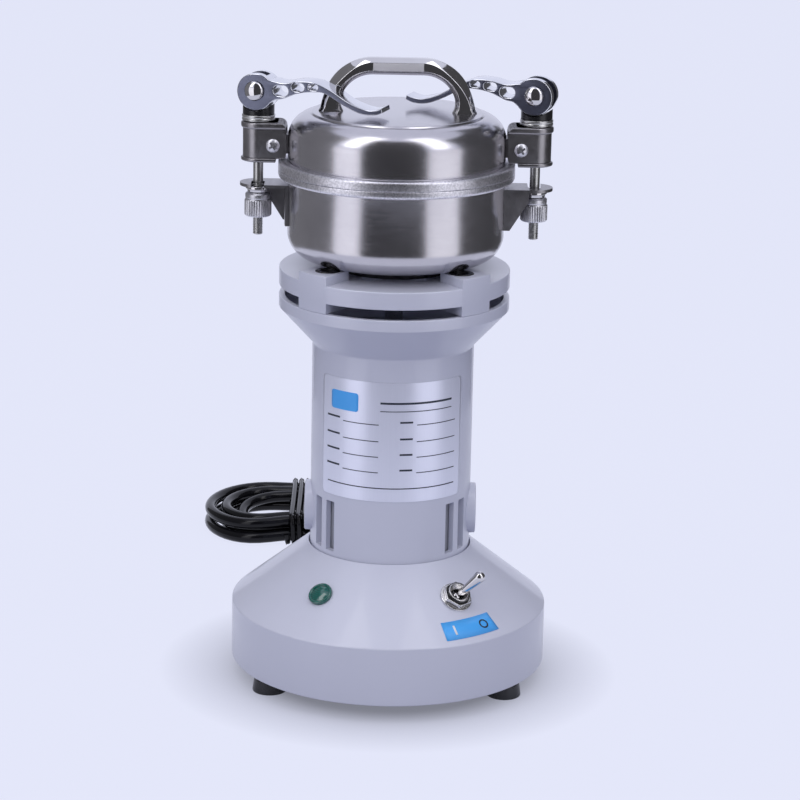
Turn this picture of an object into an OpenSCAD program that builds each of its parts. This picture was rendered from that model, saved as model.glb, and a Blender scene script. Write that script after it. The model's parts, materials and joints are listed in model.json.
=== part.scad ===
// Analytical lab mill: a motor in a waisted plastic stand drives two blades in a steel bowl,
// and two cam levers clamp the lid on the bowl.
// Origin: on the surface that the mill stands on, under the middle of the base. Front is -Y.

/* [Base] */
// Outer diameter of the base
base_d = 160; // [150:1:180]
// Height of the straight side of the base
base_side_h = 29.5; // [26:0.5:36]
// Height of the cone above the straight side
cone_h = 31; // [28:0.5:34]
// Wall of the moulded shells
shell_t = 3; // [2.4:0.1:3.4]
// Height of the rubber feet
foot_h = 9; // [7:0.5:12]

/* [Neck] */
// Outer diameter of the neck, which holds the motor
neck_d = 81; // [80:0.5:84]
// Height of the neck between the cone and the funnel
neck_h = 104.5; // [100:0.5:112]
// Height of the funnel above the neck
funnel_h = 20; // [17:0.5:24]
// How far the funnel's rim and the chamber seat stand out past the bowl
rim_over = 3.8; // [3.5:0.1:5]
// Height of the air windows under the chamber seat
window_h = 5; // [4:0.5:7]

/* [Chamber] */
// Outer diameter of the steel bowl
bowl_d = 107.4; // [105:0.2:110]
// Height from the bowl's bottom to its flange
bowl_h = 40.3; // [38:0.1:44]
// Sheet thickness of the bowl and the lid
sheet_t = 1.5; // [1.2:0.1:1.8]
// Height of the lid above its flange
lid_h = 24; // [23:0.5:27]
// How far the lid lifts
lid_lift = 85; // [60:1:120]

/* [Clamps] */
// Distance from the bowl's wall to the rod's axis
rod_reach = 14.6; // [14:0.1:16]
// Diameter of the clamp rods
rod_d = 5; // [4.6:0.1:5.4]
// Radius of the cam under the pin when the lever is closed
cam_r = 9.9; // [9.6:0.1:10.4]
// How far the rod drops when the lever opens
cam_drop = 1.5; // [1:0.1:1.8]
// Length of a lever from its pin to its tip
lever_l = 69.5; // [66:0.5:72]
// Width of a lever
lever_w = 12.6; // [12:0.1:13.4]
// Angle by which a closed lever points past the middle of the lid
lever_skew = 18; // [17:1:22]

/* [Controls] */
// Angle of the switch and of the lamp from the front
panel_angle = 34.5; // [32:0.5:38]
// Angle by which the toggle leans to each side
toggle_lean = 24; // [16:1:26]

/* [Cord] */
// Diameter of the mains lead
cord_d = 6.6; // [6.4:0.1:6.7]
// Step between the hank's turns
hank_step = 9.4; // [9.2:0.1:9.8]

/* [Hidden] */

$fn = 96;
// Fits: a running fit, a fixed fit, the space between parts that move past each other, a cut's overrun
run_fit = 0.08;
fixed_fit = 0.05;
part_gap = 0.3;
overrun = 1;
tiny = 0.02;

// Heights of the main levels above the floor
z_base = foot_h;
z_edge = z_base + base_side_h;
z_cone = z_edge + cone_h;
z_neck = z_cone + neck_h;
z_flare = z_neck + funnel_h;
rim_h = 2.5;
z_rim = z_flare + rim_h;
z_seat = z_rim + window_h;
seat_h = 10.5;
z_step = z_seat + seat_h;
pad_h = 4.6;
z_pad = z_step + pad_h;
grommet_proud = 0.4;
z_bowl = z_pad + grommet_proud;
z_flange = z_bowl + bowl_h;
flange_h = 3.9;
z_mouth = z_flange + flange_h;
seal_gap = 0.5;
z_lid = z_mouth + seal_gap;
lid_flange_h = 4.3;
z_lid_wall = z_lid + lid_flange_h;
z_top = z_lid_wall + lid_h;

// Base: radii, the cone's tilt and what hangs from it
base_r = base_d / 2;
neck_r = neck_d / 2;
seam = 0.5;
hole_r = neck_r + seam;
cone_tilt = atan(cone_h / (base_r - hole_r));
cone_drop = shell_t / cos(cone_tilt);
edge_round = 1.2;
function cone_z(r) = z_cone - (r - hole_r) * tan(cone_tilt);
function cone_r(z) = hole_r + (z_cone - z) / tan(cone_tilt);
ledge_t = 3;
ledge_drop = 9.5;
ledge_z = z_cone - ledge_drop;
ledge_in = 30;
plate_t = 2.5;
plate_gap = 0.4;
foot_reach = 69.5;
foot_angle = 58;
foot_top_r = 7.2;
foot_low_r = 8.8;
boss_r = 4.2;
post_screw_r = 1.6;
post_head_r = 3;
post_head_h = 2;
post_screw_l = 15;
foot_recess = 4;
vent_w = 3;
vent_l = 26;
vent_pitch = 8;
vent_count = 7;

// Motor housing
housing_in = neck_r - shell_t;
foot_ring_t = 4;
z_motor = ledge_z + foot_ring_t;
ring_screw_inset = 3.8;
ring_screw_reach = housing_in - ring_screw_inset;
ring_screw_l = 6;
boss_out = 2.8;
brush_boss_r = 13;
brush_rise = 17.5;
brush_z = z_cone + brush_rise;
cap_r = 8;
slot_w = 6;
slot_l = 26;
slot_rise = 2;
slot_z = z_cone + slot_rise;
slot_angles = [47.6, 61.8];
rim_r = bowl_d / 2 + rim_over;
pillar_from = 35;
pillar_angle = 19;
pillar_turn = 180 - pillar_from - pillar_angle;
pillar_starts = [pillar_from, pillar_turn, pillar_from + 180, pillar_turn + 180];
lug_depth = 16.5;
lug_in = rim_r - lug_depth;
pad_over = 2;
lug_h = 9.5;
lug_back = 4.5;
lug_slope = 4.5;

// Motor
sleeve_t = 1.4;
sleeve_gap = 0.6;
sleeve_r = housing_in - sleeve_gap;
sleeve_drop = 16;
sleeve_top = z_neck - sleeve_drop;
bracket_t = 3;
bracket_gap = 0.4;
bracket_r = sleeve_r - sleeve_t - bracket_gap;
shaft_low_r = 3.5;
shaft_mid_r = 4.5;
shaft_top_r = 5;
shaft_tip_r = 4;
low_race_r = 9.5;
low_race_h = 6;
journal_over = 2;
top_race_r = 13;
top_race_h = 8;
race_wall = 3;
stack_h = 38;
stack_rise = 46;
z_stack = z_motor + stack_rise;
z_stack_top = z_stack + stack_h;
stator_wall = 7.1;
stator_r = neck_r - stator_wall;
core_share = 0.524;
core_r = core_share * stator_r;
air_gap = 0.8;
core_slots = 12;
core_slot_w = 2.4;
core_slot_depth = 6;
flat_share = 0.808;
stator_flat = flat_share * stator_r;
yoke_t = 5;
pole_half = 13;
coil_over = 7;
coil_gap = 0.5;
yoke_lip = 3;
commutator_r = 11;
commutator_h = 15;
commutator_bars = 24;
bar_gap = 0.7;
bar_depth = 1;
winding_inset = 2;
winding_r = core_r - winding_inset;
winding_h = 8;
bolt_r = 2;
post_r = 3;
bolt_reach = stator_r - post_r;
fan_inset = 5.5;
fan_r = housing_in - fan_inset;
fan_h = 12;
fan_blades = 9;
fan_blade_t = 1.6;
fan_disc_t = 2;
fan_hub_r = 8;
fan_in = 14;
fan_drop = 9;
z_fan = z_neck - fan_drop;
holder_r = 6;
brush_half = 3;
brush_l = 12;
spring_r = 2.6;
spring_wire = 0.7;
holder_gap = 3;
brush_play = 0.1;

// Chamber seat, which carries the upper bearing and the bowl
hub_r = 18;
hub_drop = 5;
hub_z = z_seat - hub_drop;
race_drop = 2.5;
seat_plate_t = 4;
seat_skirt_t = 3.3;
seat_vents = 8;
seat_vent_r = 4.5;
seat_vent_reach = 31;
bowl_boss_r = 4.5;
bowl_boss_reach = 23;
bowl_screw_r = 1.9;
bowl_head_r = 3.6;
bowl_head_h = 1.6;
bowl_screw_l = 10;
grommet_r = 6.2;
grommet_inset = 11;
grommet_reach = rim_r - grommet_inset;
grommet_depth = 3;
grommet_hole = 3.4;
seat_screw_r = 1.9;
seat_screw_l = 16;
seat_head_h = 1.8;

// Bowl and lid
bowl_r = bowl_d / 2;
bowl_round = 12.7;
flange_out = 4.8;
flange_r = bowl_r + flange_out;
bead_r = 1.9;
bead_facets = 8;
shaft_hole_r = 9;
seal_h = 5;
gasket_w = 4;
gasket_h = 1.2;
gasket_inset = 6.4;
gasket_in = flange_r - gasket_inset;
lid_round = 12;
lid_round_in = 10.5;
lid_step_inset = 11;
lid_step_r = bowl_r - lid_step_inset;
lid_step_h = 0.9;
lid_step_w = 2.2;

// Blades
blade_t = 2.5;
blade_w = 13;
blade_low_r = 44;
blade_top_r = 37;
blade_rise = 9.5;
z_blade = z_bowl + blade_rise;
blade_space = 6;
blade_bevel = 4;
collar_r = 8;
blade_hub_r = 9;
nut_af_r = 7;
nut_h = 6;
nut_dome = 3;

// Clamp: box, thrust ring, saddle, cam, lever
rod_r = rod_d / 2;
rod_x = bowl_r + rod_reach;
box_r = 7.7;
box_t = 1.6;
box_top_drop = 5.7;
z_box = z_lid_wall + part_gap;
z_box_top = z_top - box_top_drop;
box_lip = 0.9;
box_lip_h = 3.4;
box_foot_h = 2;
box_foot_gap = 0.9;
box_foot_start = flange_r + box_foot_gap;
box_round = 4.5;
box_wall_gap = 0.6;
lug_reach = 10;
lug_play = 0.2;
lug_half = box_r - box_t - lug_play;
lug_z_low = 2.6;
cross_inset = 7.4;
cross_x = rod_x - cross_inset;
cross_rise = 6.8;
cross_z = z_box + cross_rise;
cross_r = 1.7;
cross_head_r = 3.4;
cross_head_h = 1.9;
ring_h = 3;
ring_r = 8.2;
z_ring = z_box_top + part_gap;
z_saddle = z_ring + ring_h + part_gap;
saddle_floor = 1.6;
cam_clear = 0.35;
z_pin = z_saddle + saddle_floor + cam_clear + cam_r;
saddle_r = 7.8;
saddle_rise = 3;
lever_travel = 165;
eye_r = 4.3;
eye_w = 5;
fork_gap = eye_w + 2 * part_gap;
fork_room = 0.8;
fork_depth = eye_r + fork_room;
pin_r = 2.4;
dome_r = 5;
dome_h = 2.6;
rod_tail = 30.2;

// Lever's upper and lower edges and its three holes, as shares of its length
top_edge_shares = [
    [0.060, 0.112], [0.128, 0.086], [0.225, 0.072], [0.345, 0.094], [0.470, 0.091],
    [0.600, 0.040], [0.735, -0.038], [0.865, -0.083], [0.940, -0.084], [0.990, -0.070]
];
low_edge_shares = [
    [0.985, -0.094], [0.915, -0.112], [0.825, -0.110], [0.695, -0.060], [0.563, 0.011],
    [0.477, 0.022], [0.345, 0.003], [0.225, -0.045], [0.160, -0.058], [0.110, -0.100]
];
hole_shares = [[0.207, 0.013, 0.060, 0.040], [0.340, 0.048, 0.052, 0.031], [0.459, 0.057, 0.040, 0.023]];

// Ear under the rod: slotted plate, gusset and welded flange
ear_t = 1.5;
ear_drop = 3.8;
z_ear = z_flange - ear_drop;
ear_r = 9;
ear_slot = 6.6;
ear_gusset_drop = 20.5;
gusset_out = 3;
weld_gap = 0.05;
weld_half_angle = 9;
gusset_foot = 2.5;

// Collar and knurled nut under the ear
z_collar = z_ear - ear_t - part_gap;
collar_h = 2.8;
collar_flange_r = 6.2;
nut_body_h = 12;
nut_top_h = 3.6;
nut_r = 6.7;
flute_count = 24;
flute_r = 0.45;
nut_smooth_r = 6.2;

// Handle
handle_w = 8.4;
handle_hgt = 8.3;
handle_chamfer = 2.2;
handle_rise = 22.4;
handle_bend = 20.4;
handle_inset = 9.9;
handle_bar = 2 * (lid_step_r - handle_inset - handle_bend);
handle_foot_w = 12.2;
handle_foot_d = 10.6;
handle_screw_r = 2;
handle_head_r = 4;
handle_head_h = 2;

// Switch and lamp on the cone
panel_drop = 1.5;
panel_r = (hole_r + base_r) / 2 - panel_drop;
bush_r = 5.8;
bush_h = 5;
bush_mouth = 4.7;
bush_throat = 3.5;
switch_w = 15;
switch_d = 13;
switch_depth = 19;
terminal_l = 5;
switch_nut_r = 7.6;
switch_nut_h = 2.6;
washer_r = 8.2;
washer_t = 0.8;
ball_r = 2.8;
ball_fit = 0.1;
bat_l = 17.2;
bat_low_r = 1.5;
bat_tip_r = 2.5;
lens_r = 5.4;
lens_dome = 2.6;
bezel_r = 6;
bezel_h = 1.2;
lamp_r = 4.6;
lamp_depth = 20;

// Terminal block on the bottom plate
block_l = 34;
block_w = 17;
block_h = 12;
block_y = 38;
block_holes = 3;

// Cord: where it leaves the base, its grip, its route on the floor, the hank and the plug
grip_rise = 15;
grip_z = z_base + grip_rise;
grip_r = 7.5;
grip_l = 28;
grip_tip_r = 4.4;
grip_head = 3;
grip_grooves = 5;
groove_d = 0.6;
cord_r = cord_d / 2;
cord_sides = 8;
floor_z = cord_r + part_gap;
exit_y = base_r + grip_head + grip_l;
lead_points = [
    [0, exit_y, grip_z], [0, 118, 23.4], [0, 126, 21.1], [0, 134, 17.6], [0, 142, 13.5], [-0.3, 150, 9.4],
    [-1.2, 159, 5.8], [-4, 168, 3.9], [-9, 177, floor_z], [-15.5, 184, floor_z], [-24, 190, floor_z]
];
hank_x = -40;
waist_x = -54;
hank_y = 232;
hank_straight = 25;
hank_inner = 22;
hank_turns = 4.5;
hank_rings = 24;
// The tail climbs from the hank's last turn to the plug, which lies on the hank
tail_points = [
    [-22, 273, 11.8], [-10, 274.5, 12.6], [3, 274, 13.8], [15.5, 271, 15], [26.5, 264.5, 16.4],
    [34, 254, 17.8], [38.5, 242.3, 19], [38.5, 229.7, 20.2], [34, 218, 21.2], [26, 208.5, 22],
    [15.3, 202.3, 22.4], [4, 200, 22.4]
];
hank_waist = 0.22;
layer_gap = 1.1;
hank_layer = cord_d + layer_gap;
waist_reach = 24;
tie_w = 10;
tie_t = 1.4;
tie_gap = 0.5;
tie_lift = 1.7;
plug_l = 27;
plug_w = 24;
plug_h = 14;
plug_neck_l = 6;
plug_neck_r = 5;
pin_l = 15;
pin_w = 6.3;
pin_t = 1.6;
pin_spread = 6;

// The same piece on the left at s = 0 and on the right at s = 1, turned half round the mill
module side(s) rotate([0, 0, s * 180]) children();
module both() for (s = [0, 1]) side(s) children();
// Places on a circle, from the front towards +X
module around(angle, reach) rotate([0, 0, angle]) translate([0, -reach, 0]) children();
module four(angle, reach) for (a = [angle, 180 - angle, 180 + angle, -angle]) around(a, reach) children();
// A frame on the cone: Z out of the surface, X round the mill and Y uphill
module on_cone(angle) around(angle, panel_r) translate([0, 0, cone_z(panel_r)])
    rotate([cone_tilt, 0, 0]) children();
module tube(r_out, r_in, h) difference() {
    cylinder(r = r_out, h = h);
    translate([0, 0, -overrun]) cylinder(r = r_in, h = h + 2 * overrun);
}
module rod_place() translate([-rod_x, 0, 0]) children();
module screw(r, l, head_r, head_h) union() {
    translate([0, 0, -l]) cylinder(r = r, h = l + tiny);
    cylinder(r = head_r, h = head_h);
}
// A flat slot outline with round ends, along X
module slot2(l, w) union() {
    square([l - w, w], center = true);
    for (s = [-1, 1]) translate([s * (l - w) / 2, 0]) circle(d = w, $fn = 24);
}
// Points of a smooth curve through a list, n steps for each span
function at(p, i) = p[max(0, min(len(p) - 1, i))];
function curve_point(p, i, t) =
    let (a = at(p, i - 1), b = at(p, i), c = at(p, i + 1), d = at(p, i + 2))
    b + t * (c - a) / 2 + t * t * (a - 2.5 * b + 2 * c - d / 2) + t * t * t * (3 * b - 3 * c + d - a) / 2;
function smooth(p, n) = concat(
    [for (i = [0 : len(p) - 2], k = [0 : n - 1]) curve_point(p, i, k / n)], [p[len(p) - 1]]);
function unit(v) = v / norm(v);
// A tube of round section along a list of points that never stands upright
function ring(p, d, r, n) =
    let (s = unit(cross(d, [0, 0, 1])), u = cross(s, d))
    [for (k = [0 : n - 1]) p + r * (cos(360 * k / n) * s + sin(360 * k / n) * u)];
function ways(p) = [for (i = [0 : len(p) - 1]) unit(at(p, i + 1) - at(p, i - 1))];
module sweep(p, r, n, ends) {
    d = ways(p);
    last = len(p) - 1;
    w = [for (i = [0 : last]) i == 0 ? ends[0] : i == last ? ends[1] : d[i]];
    v = [for (i = [0 : last]) each ring(p[i], w[i], r, n)];
    sides = [for (i = [0 : last - 1], k = [0 : n - 1])
        let (a = i * n + k, b = i * n + (k + 1) % n) each [[a, b, b + n], [a, b + n, a + n]]];
    caps = [for (k = [1 : n - 2]) each [[0, k + 1, k], [last * n, last * n + k, last * n + k + 1]]];
    polyhedron(points = v, faces =
        concat([for (f = sides) [f[0], f[2], f[1]]], [for (f = caps) [f[0], f[2], f[1]]]));
}

// Base shell: turned skin, inner ledge for the housing, four posts for the feet
module base_fill() rotate_extrude() polygon([
    [0, z_base], [base_r - shell_t / 2, z_base], [base_r - shell_t / 2, z_edge],
    [hole_r + shell_t / 2, z_cone - shell_t / 2], [0, z_cone - shell_t / 2]
]);
module base_shell() color([0.72, 0.73, 0.77]) difference() {
    union() {
        rotate_extrude() union() {
            polygon([
                [hole_r, z_cone], [base_r - edge_round, z_edge + edge_round * tan(cone_tilt)],
                [base_r, z_edge], [base_r, z_base], [base_r - shell_t, z_base],
                [base_r - shell_t, cone_z(base_r - shell_t) - cone_drop], [hole_r, z_cone - cone_drop]
            ]);
            polygon([
                [ledge_in, ledge_z - ledge_t], [cone_r(ledge_z - ledge_t) - shell_t, ledge_z - ledge_t],
                [cone_r(ledge_z) - shell_t, ledge_z], [ledge_in, ledge_z]
            ]);
        }
        intersection() {
            four(foot_angle, foot_reach) translate([0, 0, z_base + plate_t])
                cylinder(r = boss_r, h = cone_h + base_side_h);
            base_fill();
        }
    }
    four(foot_angle, foot_reach) translate([0, 0, z_base - overrun])
        cylinder(r = post_screw_r + fixed_fit, h = post_screw_l + overrun);
    four(45, ring_screw_reach) translate([0, 0, ledge_z - ledge_t - overrun])
        cylinder(r = post_screw_r + fixed_fit, h = ledge_t + 2 * overrun);
    on_cone(panel_angle) cylinder(r = bush_r + fixed_fit, h = 4 * shell_t, center = true);
    on_cone(-panel_angle) cylinder(r = lamp_r + fixed_fit, h = 4 * shell_t, center = true);
    translate([0, base_r, grip_z]) rotate([90, 0, 0])
        cylinder(r = grip_tip_r + fixed_fit, h = 4 * shell_t, center = true);
}
module bottom_plate() color([0.62, 0.63, 0.66]) translate([0, 0, z_base]) difference() {
    cylinder(r = base_r - shell_t - plate_gap, h = plate_t);
    four(foot_angle, foot_reach) translate([0, 0, -overrun])
        cylinder(r = post_screw_r + fixed_fit, h = plate_t + 2 * overrun);
    for (k = [0 : vent_count - 1]) translate([(k - (vent_count - 1) / 2) * vent_pitch, 0, -overrun])
        linear_extrude(plate_t + 2 * overrun) rotate(90) slot2(vent_l, vent_w);
}
module rubber_feet() color([0.06, 0.06, 0.07]) four(foot_angle, foot_reach) difference() {
    cylinder(r1 = foot_low_r, r2 = foot_top_r, h = foot_h);
    translate([0, 0, -overrun]) cylinder(r = post_head_r + part_gap, h = foot_recess + overrun);
    translate([0, 0, -overrun]) cylinder(r = post_screw_r + fixed_fit, h = foot_h + 2 * overrun);
}
module base_screws() color([0.7, 0.7, 0.72]) {
    four(foot_angle, foot_reach) translate([0, 0, foot_recess]) mirror([0, 0, 1])
        screw(post_screw_r, post_screw_l + foot_h - foot_recess - overrun, post_head_r, post_head_h);
    four(45, ring_screw_reach) translate([0, 0, ledge_z - ledge_t]) mirror([0, 0, 1])
        screw(post_screw_r, ring_screw_l, post_head_r, post_head_h);
}

// Motor housing: neck, funnel and rim in one moulding, with lugs that carry the chamber seat
module lug_outline() polygon([
    [lug_in, z_seat - lug_h], [rim_r - lug_back, z_seat - lug_h],
    [rim_r - lug_back + lug_slope - tiny, z_rim], [rim_r - tiny, z_rim], [rim_r - tiny, z_seat],
    [lug_in, z_seat]
]);
module brush_place() for (s = [-1, 1]) translate([0, 0, brush_z]) rotate([0, s * 90, 0]) children();
module motor_housing() color([0.70, 0.71, 0.76]) difference() {
    union() {
        rotate_extrude() union() {
            polygon([
                [housing_in, ledge_z], [neck_r, ledge_z], [neck_r, z_neck], [rim_r, z_flare], [rim_r, z_rim],
                [rim_r - shell_t, z_rim], [rim_r - shell_t, z_flare + shell_t / 2],
                [housing_in, z_neck + shell_t]
            ]);
            translate([ledge_in, ledge_z]) square([housing_in - ledge_in + tiny, foot_ring_t]);
        }
        for (a = pillar_starts) rotate([0, 0, a - 90]) rotate_extrude(angle = pillar_angle) lug_outline();
        brush_place() translate([0, 0, housing_in - overrun])
            cylinder(r1 = brush_boss_r, r2 = brush_boss_r - overrun / 2, h = shell_t + boss_out + overrun);
    }
    brush_place() cylinder(r = cap_r + fixed_fit, h = neck_d);
    cylinder(r = ledge_in, h = z_seat);
    translate([0, 0, z_motor]) cylinder(r = housing_in, h = z_neck - z_motor);
    for (a = slot_angles, side_a = [a, -a, 180 - a, 180 + a]) around(side_a, neck_r)
        translate([0, 0, slot_z + slot_l / 2]) rotate([90, 0, 0])
            translate([0, 0, -2 * shell_t]) linear_extrude(4 * shell_t) square([slot_w, slot_l], center = true);
    four(45, ring_screw_reach) translate([0, 0, ledge_z - overrun])
        cylinder(r = post_screw_r + fixed_fit, h = foot_ring_t + 2 * overrun);
    four(pillar_from + pillar_angle / 2, grommet_reach) translate([0, 0, z_seat - lug_h - overrun])
        cylinder(r = seat_screw_r + fixed_fit, h = lug_h + 2 * overrun);
}
module motor_sleeve() color([0.45, 0.46, 0.50]) difference() {
    translate([0, 0, z_motor]) tube(sleeve_r, sleeve_r - sleeve_t, sleeve_top - z_motor);
    brush_place() cylinder(r = holder_r + part_gap, h = neck_d);
}
module brush_caps() color([0.62, 0.63, 0.68]) brush_place() translate([0, 0, sleeve_r + part_gap])
    difference() {
    cylinder(r = cap_r, h = neck_r + boss_out - sleeve_r - 2 * part_gap);
    translate([-cap_r * 2, -overrun / 2, neck_r + boss_out - sleeve_r - 2 * part_gap - overrun])
        cube([cap_r * 4, overrun, 2 * overrun]);
}
module brush_holders() color([0.78, 0.62, 0.28]) brush_place()
    translate([0, 0, commutator_r + holder_gap]) difference() {
    cylinder(r = holder_r, h = sleeve_r - commutator_r - holder_gap);
    translate([0, 0, sleeve_r / 2])
        cube([2 * (brush_half + brush_play), 2 * (brush_half + brush_play), 2 * sleeve_r], center = true);
}
module brush_sets() brush_place() {
    color([0.15, 0.15, 0.16]) translate([-brush_half, -brush_half, commutator_r + part_gap])
        cube([2 * brush_half, 2 * brush_half, brush_l]);
    color([0.75, 0.73, 0.65]) translate([0, 0, commutator_r + part_gap + brush_l + tiny])
        tube(spring_r, spring_r - spring_wire, sleeve_r - commutator_r - brush_l - 3 * part_gap);
}

// Motor: two brackets that clamp the stator between their posts, held by two long bolts
module post_places() for (s = [-1, 1]) translate([0, s * bolt_reach, 0]) children();
module motor_brackets() color([0.66, 0.67, 0.69]) difference() {
    union() {
        translate([0, 0, z_motor]) cylinder(r = bracket_r, h = bracket_t);
        translate([0, 0, z_motor])
            cylinder(r = low_race_r + race_wall, h = bracket_t + low_race_h + race_wall);
        translate([0, 0, sleeve_top - bracket_t]) cylinder(r = bracket_r, h = bracket_t);
        post_places() {
            translate([0, 0, z_motor]) cylinder(r = post_r, h = z_stack - z_motor);
            translate([0, 0, z_stack_top]) cylinder(r = post_r, h = sleeve_top - z_stack_top);
        }
    }
    translate([0, 0, z_motor + bracket_t])
        cylinder(r = low_race_r + fixed_fit, h = low_race_h + 2 * race_wall);
    translate([0, 0, z_motor - overrun]) cylinder(r = shaft_low_r + overrun, h = sleeve_top);
    translate([0, 0, sleeve_top - bracket_t - overrun])
        cylinder(r = winding_r, h = bracket_t + 2 * overrun);
    post_places() translate([0, 0, z_motor - overrun]) cylinder(r = bolt_r + fixed_fit, h = sleeve_top);
    for (s = [-1, 1], k = [-1, 1]) translate([s * winding_r * 1.35, k * winding_r / 2, z_motor - overrun])
        cylinder(r = winding_r / 4, h = sleeve_top - z_motor + 2 * overrun);
}
module motor_bearings() color([0.80, 0.81, 0.83]) {
    translate([0, 0, z_motor + bracket_t]) tube(low_race_r, shaft_low_r + run_fit, low_race_h);
    translate([0, 0, z_seat - race_drop]) tube(top_race_r, shaft_top_r + run_fit, top_race_h);
}
module stator_core() color([0.35, 0.36, 0.38]) difference() {
    translate([0, 0, z_stack]) linear_extrude(stack_h) difference() {
        intersection() {
            circle(r = stator_r);
            square([2 * stator_flat, 2 * stator_r + overrun], center = true);
        }
        difference() {
            intersection() {
                circle(r = stator_r - yoke_t - yoke_lip);
                square([2 * (stator_flat - yoke_t), 2 * stator_r], center = true);
            }
            square([2 * stator_r, 2 * (pole_half - yoke_t)], center = true);
        }
        circle(r = core_r + air_gap);
    }
    post_places() translate([0, 0, z_stack - overrun])
        cylinder(r = bolt_r + fixed_fit, h = stack_h + 2 * overrun);
}
// A field coil: a racetrack of wire round one pole, along the shaft
module coil_outline(grow)
    square([stack_h + 2 * (coil_gap + grow), 2 * (pole_half - yoke_t + coil_gap + grow)], center = true);
module field_coils() color([0.62, 0.34, 0.16]) both()
    translate([core_r + air_gap + coil_gap, 0, z_stack + stack_h / 2])
    rotate([0, 90, 0]) linear_extrude(stator_flat - yoke_t - core_r - air_gap - 2 * coil_gap) difference() {
        coil_outline(yoke_t);
        coil_outline(0);
    }
module motor_bolts() color([0.72, 0.72, 0.74]) post_places() translate([0, 0, sleeve_top])
    screw(bolt_r, sleeve_top - z_motor, post_r, post_head_h);

// Chamber seat: a casting with a skirt, four pads and a hub for the upper bearing
module pads() for (a = pillar_starts)
    rotate([0, 0, a - 90]) rotate_extrude(angle = pillar_angle) translate([lug_in - pad_over, z_seat])
        square([rim_r - tiny - lug_in + pad_over, z_pad - z_seat]);
module grommet_places() four(pillar_from + pillar_angle / 2, grommet_reach) children();
module chamber_seat() color([0.72, 0.73, 0.78]) difference() {
    union() {
        rotate_extrude() union() {
            translate([hub_r - race_wall, z_step - seat_plate_t])
                square([rim_r - hub_r + race_wall, seat_plate_t]);
            translate([rim_r - seat_skirt_t, z_seat]) square([seat_skirt_t, seat_h]);
            translate([shaft_top_r + overrun, hub_z])
                square([hub_r - shaft_top_r - overrun, z_bowl - hub_z]);
        }
        pads();
        four(45, bowl_boss_reach) translate([0, 0, z_step - tiny])
            cylinder(r = bowl_boss_r, h = z_bowl - z_step + tiny);
    }
    translate([0, 0, hub_z - overrun])
        cylinder(r = top_race_r + fixed_fit, h = z_seat - race_drop + top_race_h - hub_z + overrun);
    translate([0, 0, z_bowl - seal_h]) cylinder(r = shaft_hole_r, h = seal_h + overrun);
    four(45, bowl_boss_reach) translate([0, 0, z_bowl - bowl_screw_l])
        cylinder(r = bowl_screw_r + fixed_fit, h = bowl_screw_l + overrun);
    for (k = [0 : seat_vents - 1]) around((k + 0.5) * 360 / seat_vents, seat_vent_reach)
        translate([0, 0, z_step - seat_plate_t - overrun])
            cylinder(r = seat_vent_r, h = seat_plate_t + 2 * overrun);
    grommet_places() {
        translate([0, 0, z_pad - grommet_depth])
            cylinder(r = grommet_r + fixed_fit, h = grommet_depth + overrun);
        translate([0, 0, z_seat - overrun]) cylinder(r = seat_screw_r + fixed_fit, h = z_pad - z_seat);
    }
}
module seat_grommets() color([0.05, 0.05, 0.06]) grommet_places() translate([0, 0, z_pad - grommet_depth])
    tube(grommet_r, grommet_hole, grommet_depth + grommet_proud);
module chamber_screws() color([0.75, 0.75, 0.77]) {
    grommet_places() translate([0, 0, z_pad - grommet_depth])
        screw(seat_screw_r, seat_screw_l, grommet_hole - part_gap, seat_head_h);
    four(45, bowl_boss_reach) translate([0, 0, z_bowl + sheet_t])
        screw(bowl_screw_r, bowl_screw_l - overrun, bowl_head_r, bowl_head_h);
}

// Bowl and lid: spun sheet, drawn as turned profiles with rounded corners
function arc(cx, cy, r, from, to, n) =
    [for (k = [0 : n]) let (a = from + (to - from) * k / n) [cx + r * cos(a), cy + r * sin(a)]];
module bowl() color([0.62, 0.62, 0.66]) difference() {
    rotate_extrude() polygon(concat(
        [[shaft_hole_r, z_bowl]],
        arc(bowl_r - bowl_round, z_bowl + bowl_round, bowl_round, -90, 0, 12),
        [[bowl_r, z_flange]],
        arc(flange_r - bead_r, z_flange + bead_r, bead_r, -90, 0, bead_facets / 2),
        [[flange_r, z_mouth], [bowl_r - sheet_t, z_mouth]],
        arc(bowl_r - bowl_round, z_bowl + bowl_round, bowl_round - sheet_t, 0, -90, 12),
        [[shaft_hole_r, z_bowl + sheet_t]]
    ));
    four(45, bowl_boss_reach) translate([0, 0, z_bowl - overrun])
        cylinder(r = bowl_screw_r + fixed_fit, h = sheet_t + 2 * overrun);
}
module shaft_seal() color([0.10, 0.10, 0.11]) translate([0, 0, z_bowl - seal_h])
    tube(shaft_hole_r - fixed_fit, shaft_top_r + run_fit, seal_h + sheet_t);
module lid_shell() color([0.64, 0.64, 0.68]) difference() {
    rotate_extrude() polygon(concat(
        [[bowl_r - sheet_t, z_lid], [flange_r, z_lid]],
        arc(flange_r - bead_r, z_lid_wall - bead_r, bead_r, 0, 90, bead_facets / 2),
        [[bowl_r, z_lid_wall]],
        arc(bowl_r - lid_round, z_top - lid_step_h - lid_round, lid_round, 0, 90, 12),
        [[lid_step_r + lid_step_w, z_top - lid_step_h], [lid_step_r, z_top], [0, z_top]],
        [[0, z_top - sheet_t], [lid_step_r, z_top - sheet_t],
        [lid_step_r + lid_step_w / 2, z_top - sheet_t - lid_step_h]],
        arc(bowl_r - lid_round, z_top - lid_step_h - lid_round, lid_round_in, 90, 0, 12)
    ));
    rotate_extrude() translate([gasket_in, z_lid - overrun])
        square([gasket_w, gasket_h + overrun - part_gap]);
    for (s = [-1, 1]) translate([s * (handle_bar / 2 + handle_bend), 0, z_top - 2 * sheet_t])
        cylinder(r = handle_screw_r + fixed_fit, h = 4 * sheet_t);
}
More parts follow.
